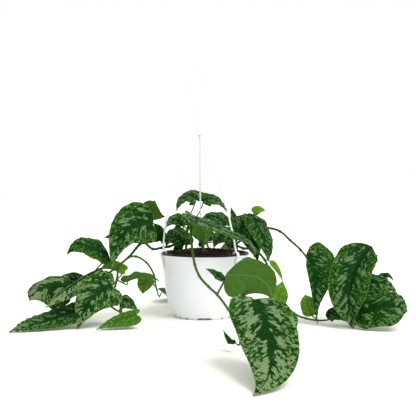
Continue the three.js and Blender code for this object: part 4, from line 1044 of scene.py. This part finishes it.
def flattened(grid):
    """The grid as a list of points, where its first and last row are one point each."""
    middle = len(shares) // 2
    inner = grid[1:-1].reshape(-1, *grid.shape[2:])
    return np.concatenate((inner, grid[:1, middle], grid[-1:, middle]))


top = Look("satin_leaf_top", 0.5, 0.02)
leaf_share, leaf_place, _ = top.attribute("leaf_at")
leaf_lateral, leaf_along, leaf_vein = top.attribute("leaf_mm")
leaf_seed, leaf_silver, leaf_youth = top.attribute("leaf_tone")


def vein_space(look, lateral, vein, seed, lateral_size, vein_size, shift):
    """A place to read noise at, in patches of that size along and across the side veins."""
    x = look.sum("DIVIDE", lateral, lateral_size)
    y = look.sum("DIVIDE", vein, vein_size)
    z = look.scaled(seed, 7.3, shift)
    return look.node("ShaderNodeCombineXYZ", {0: x, 1: y, 2: z}).outputs[0]


def vein_lines(look, vein, wobble, narrow, broad):
    """Near 1 on a side vein and 0 between two."""
    bent = look.scaled(wobble, 1.6, look.sum("DIVIDE", vein, VEIN_GAP / math.pi))
    wave = look.sum("ABSOLUTE", look.sum("SINE", bent))
    return look.step(wave, broad, narrow)


leaf_reach = top.sum("ABSOLUTE", leaf_share)
broad_space = vein_space(top, leaf_lateral, leaf_vein, leaf_seed, 12, 9, 0)
fine_space = vein_space(top, leaf_lateral, leaf_vein, leaf_seed, 5.5, 3.6, 4)
speck_space = vein_space(top, leaf_lateral, leaf_along, leaf_seed, 4.6, 4.2, 9)
blotch = top.noise(broad_space, 1, 1, 0.5, 0.6)
feather = top.noise(fine_space, 1, 3, 0.65, 0.9)
speck = top.noise(speck_space, 1, 2, 0.6)

# The dark band along the midrib is ragged and ends before the tip; the edge is speckled.
to_tip = top.step(leaf_place, 0.55, 0.95)
band_reach = top.times(leaf_reach, top.scaled(to_tip, 2.5, 1))
ragged = top.plus(top.swing(feather, 0.5), top.swing(blotch, 0.35))
off_rib = top.step(top.plus(band_reach, ragged), 0.09, 0.27)
near_edge = top.step(leaf_reach, 0.3, 1.0)
dark_vein = vein_lines(top, leaf_vein, top.swing(blotch, 1), 0.04, 0.3)

amount = top.plus(top.swing(blotch, 1.9), top.swing(feather, 1.25))
speckled = top.scaled(near_edge, 0.7, 0.3)
amount = top.plus(amount, top.times(top.swing(speck, 2.8), speckled))
amount = top.scaled(near_edge, -0.2, amount)
amount = top.scaled(dark_vein, -0.22, amount)
amount = top.scaled(to_tip, 0.15, amount)
amount = top.plus(amount, top.swing(leaf_silver, 1))
amount = top.scaled(off_rib, 1.0, amount)
silver_mask = top.step(amount, 0.94, 1.10)

deep_green = top.mix(blotch, (0.001, 0.018, 0.002), (0.006, 0.047, 0.005))
dark_speck = top.step(speck, 0.4, 0.58)
edge_green = top.mix(dark_speck, (0.003, 0.024, 0.002), (0.032, 0.12, 0.008))
green = top.mix(top.times(near_edge, off_rib), deep_green, edge_green)
shine = top.step(feather, 0.36, 0.68)
paler = top.scaled(top.sum("SUBTRACT", leaf_silver, 0.35), 2)
paler = top.scaled(shine, 0.5, paler, clamp=True)
silver_colour = top.mix(paler, (0.045, 0.10, 0.03), (0.16, 0.23, 0.105))
satin = top.mix(silver_mask, green, silver_colour)
fresh = top.mix(feather, (0.08, 0.24, 0.006), (0.16, 0.36, 0.018))
skin = top.mix(leaf_youth, satin, fresh)
# The thin pale line along the very edge of the top is a painted highlight on the leaf's rim.
painted_edge_highlight = top.step(leaf_reach, 0.972, 0.99)
top.colour(top.mix(top.times(painted_edge_highlight, 0.7), skin, (0.10, 0.20, 0.04)))
top.rough(silver_mask, 0.42, 0.58)
relief = top.scaled(dark_vein, -0.5, top.times(feather, 0.4))
top.bump(relief, 0.35, 0.6)

under = Look("leaf_underside", 0.55, 0.06)
under_lateral, _, under_vein = under.attribute("leaf_mm")
under_seed, _, under_youth = under.attribute("leaf_tone")
under_space = vein_space(under, under_lateral, under_vein, under_seed, 9, 5, 2)
under_mottle = under.noise(under_space, 1, 3, 0.6)
under_wobble = under.sum("SUBTRACT", under_mottle, 0.5)
light_vein = vein_lines(under, under_vein, under_wobble, 0.03, 0.14)
under_rib = under.step(under.sum("ABSOLUTE", under_lateral), 1.4, 0.4)
under_green = under.mix(under_mottle, (0.028, 0.095, 0.010), (0.078, 0.175, 0.028))
under_lines = under.sum("MAXIMUM", light_vein, under.times(under_rib, 1.6))
under_lines = under.times(under_lines, 0.4)
under_skin = under.mix(under_lines, under_green, (0.11, 0.26, 0.035))
under_fresh = under.mix(under_mottle, (0.06, 0.18, 0.010), (0.12, 0.27, 0.025))
under.colour(under.mix(under_youth, under_skin, under_fresh))
under.bump(under_mottle, 0.3, 0.5)

faces, face_looks = blade_faces()
for index, leaf in enumerate(LEAVES):
    grid, up, share, place, lateral, vein, length = blade_grid(leaf)
    reach = np.abs(share)
    small = min(1, leaf["width"] / 60)
    size = min(1.1, max(0.45, leaf["width"] / 75))
    seed = (index * 0.618 + 0.13) % 1
    groove = GROOVE * small * np.exp(-((lateral / (1.1 * small)) ** 2)) * (1 - 0.6 * np.clip(place, 0, 1))
    puff = np.abs(np.sin(vein / size * math.pi / VEIN_GAP)) - 0.6
    puff = PUFF * small * puff * np.clip(reach * 6, 0, 1) * np.clip((1 - reach) * 5, 0, 1)
    ruffle = RUFFLE * small * reach**3 * np.sin(vein * 0.42 + 9 * seed + 2 * np.sign(share))
    ruffle = ruffle + 0.5 * small * reach**4 * np.sin(vein * 1.05 + 23 * seed)
    normal = across_grid(grid, up)
    grid = grid + normal * (puff + ruffle - groove)[..., None]
    normal = across_grid(grid, up)
    thin = (BLADE_HALF_THICKNESS * (1 - 0.55 * reach**8))[..., None]
    ridge = RIDGE * small * np.exp(-((lateral / (1.2 * small)) ** 2))
    ridge = (ridge * (1 - 0.7 * np.clip(place, 0, 1)))[..., None]
    upper, lower = grid + normal * thin, grid - normal * (thin + ridge)
    lower[..., 2] = np.maximum(lower[..., 2], TABLE_CLEARANCE)
    upper[..., 2] = np.maximum(upper[..., 2], TABLE_CLEARANCE + BLADE_HALF_THICKNESS)
    points = np.concatenate((flattened(upper), flattened(lower)))
    mesh = make_mesh("blade_" + leaf["name"], points, faces, [top, under], face_looks, 60)
    tone = np.stack([np.full_like(share, seed), np.full_like(share, leaf.get("silver", 0.5)),
                     np.full_like(share, leaf.get("fresh", 0.7 * leaf.get("young", False)))], axis=-1)
    kept = {
        "leaf_at": np.stack((share, place, 0 * place), axis=-1),
        "leaf_mm": np.stack((lateral, place * length, vein), axis=-1) / size,
        "leaf_tone": tone,
    }
    for name, values in kept.items():
        flat = flattened(values)
        attribute = mesh.attributes.new(name, "FLOAT_VECTOR", "POINT")
        attribute.data.foreach_set("vector", np.concatenate((flat, flat)).ravel())
    nodes = [] if leaf.get("fused") else ["leaf_" + leaf["name"]]
    fit(mesh, "young_leaf" if leaf.get("young") else "leaf", *nodes)
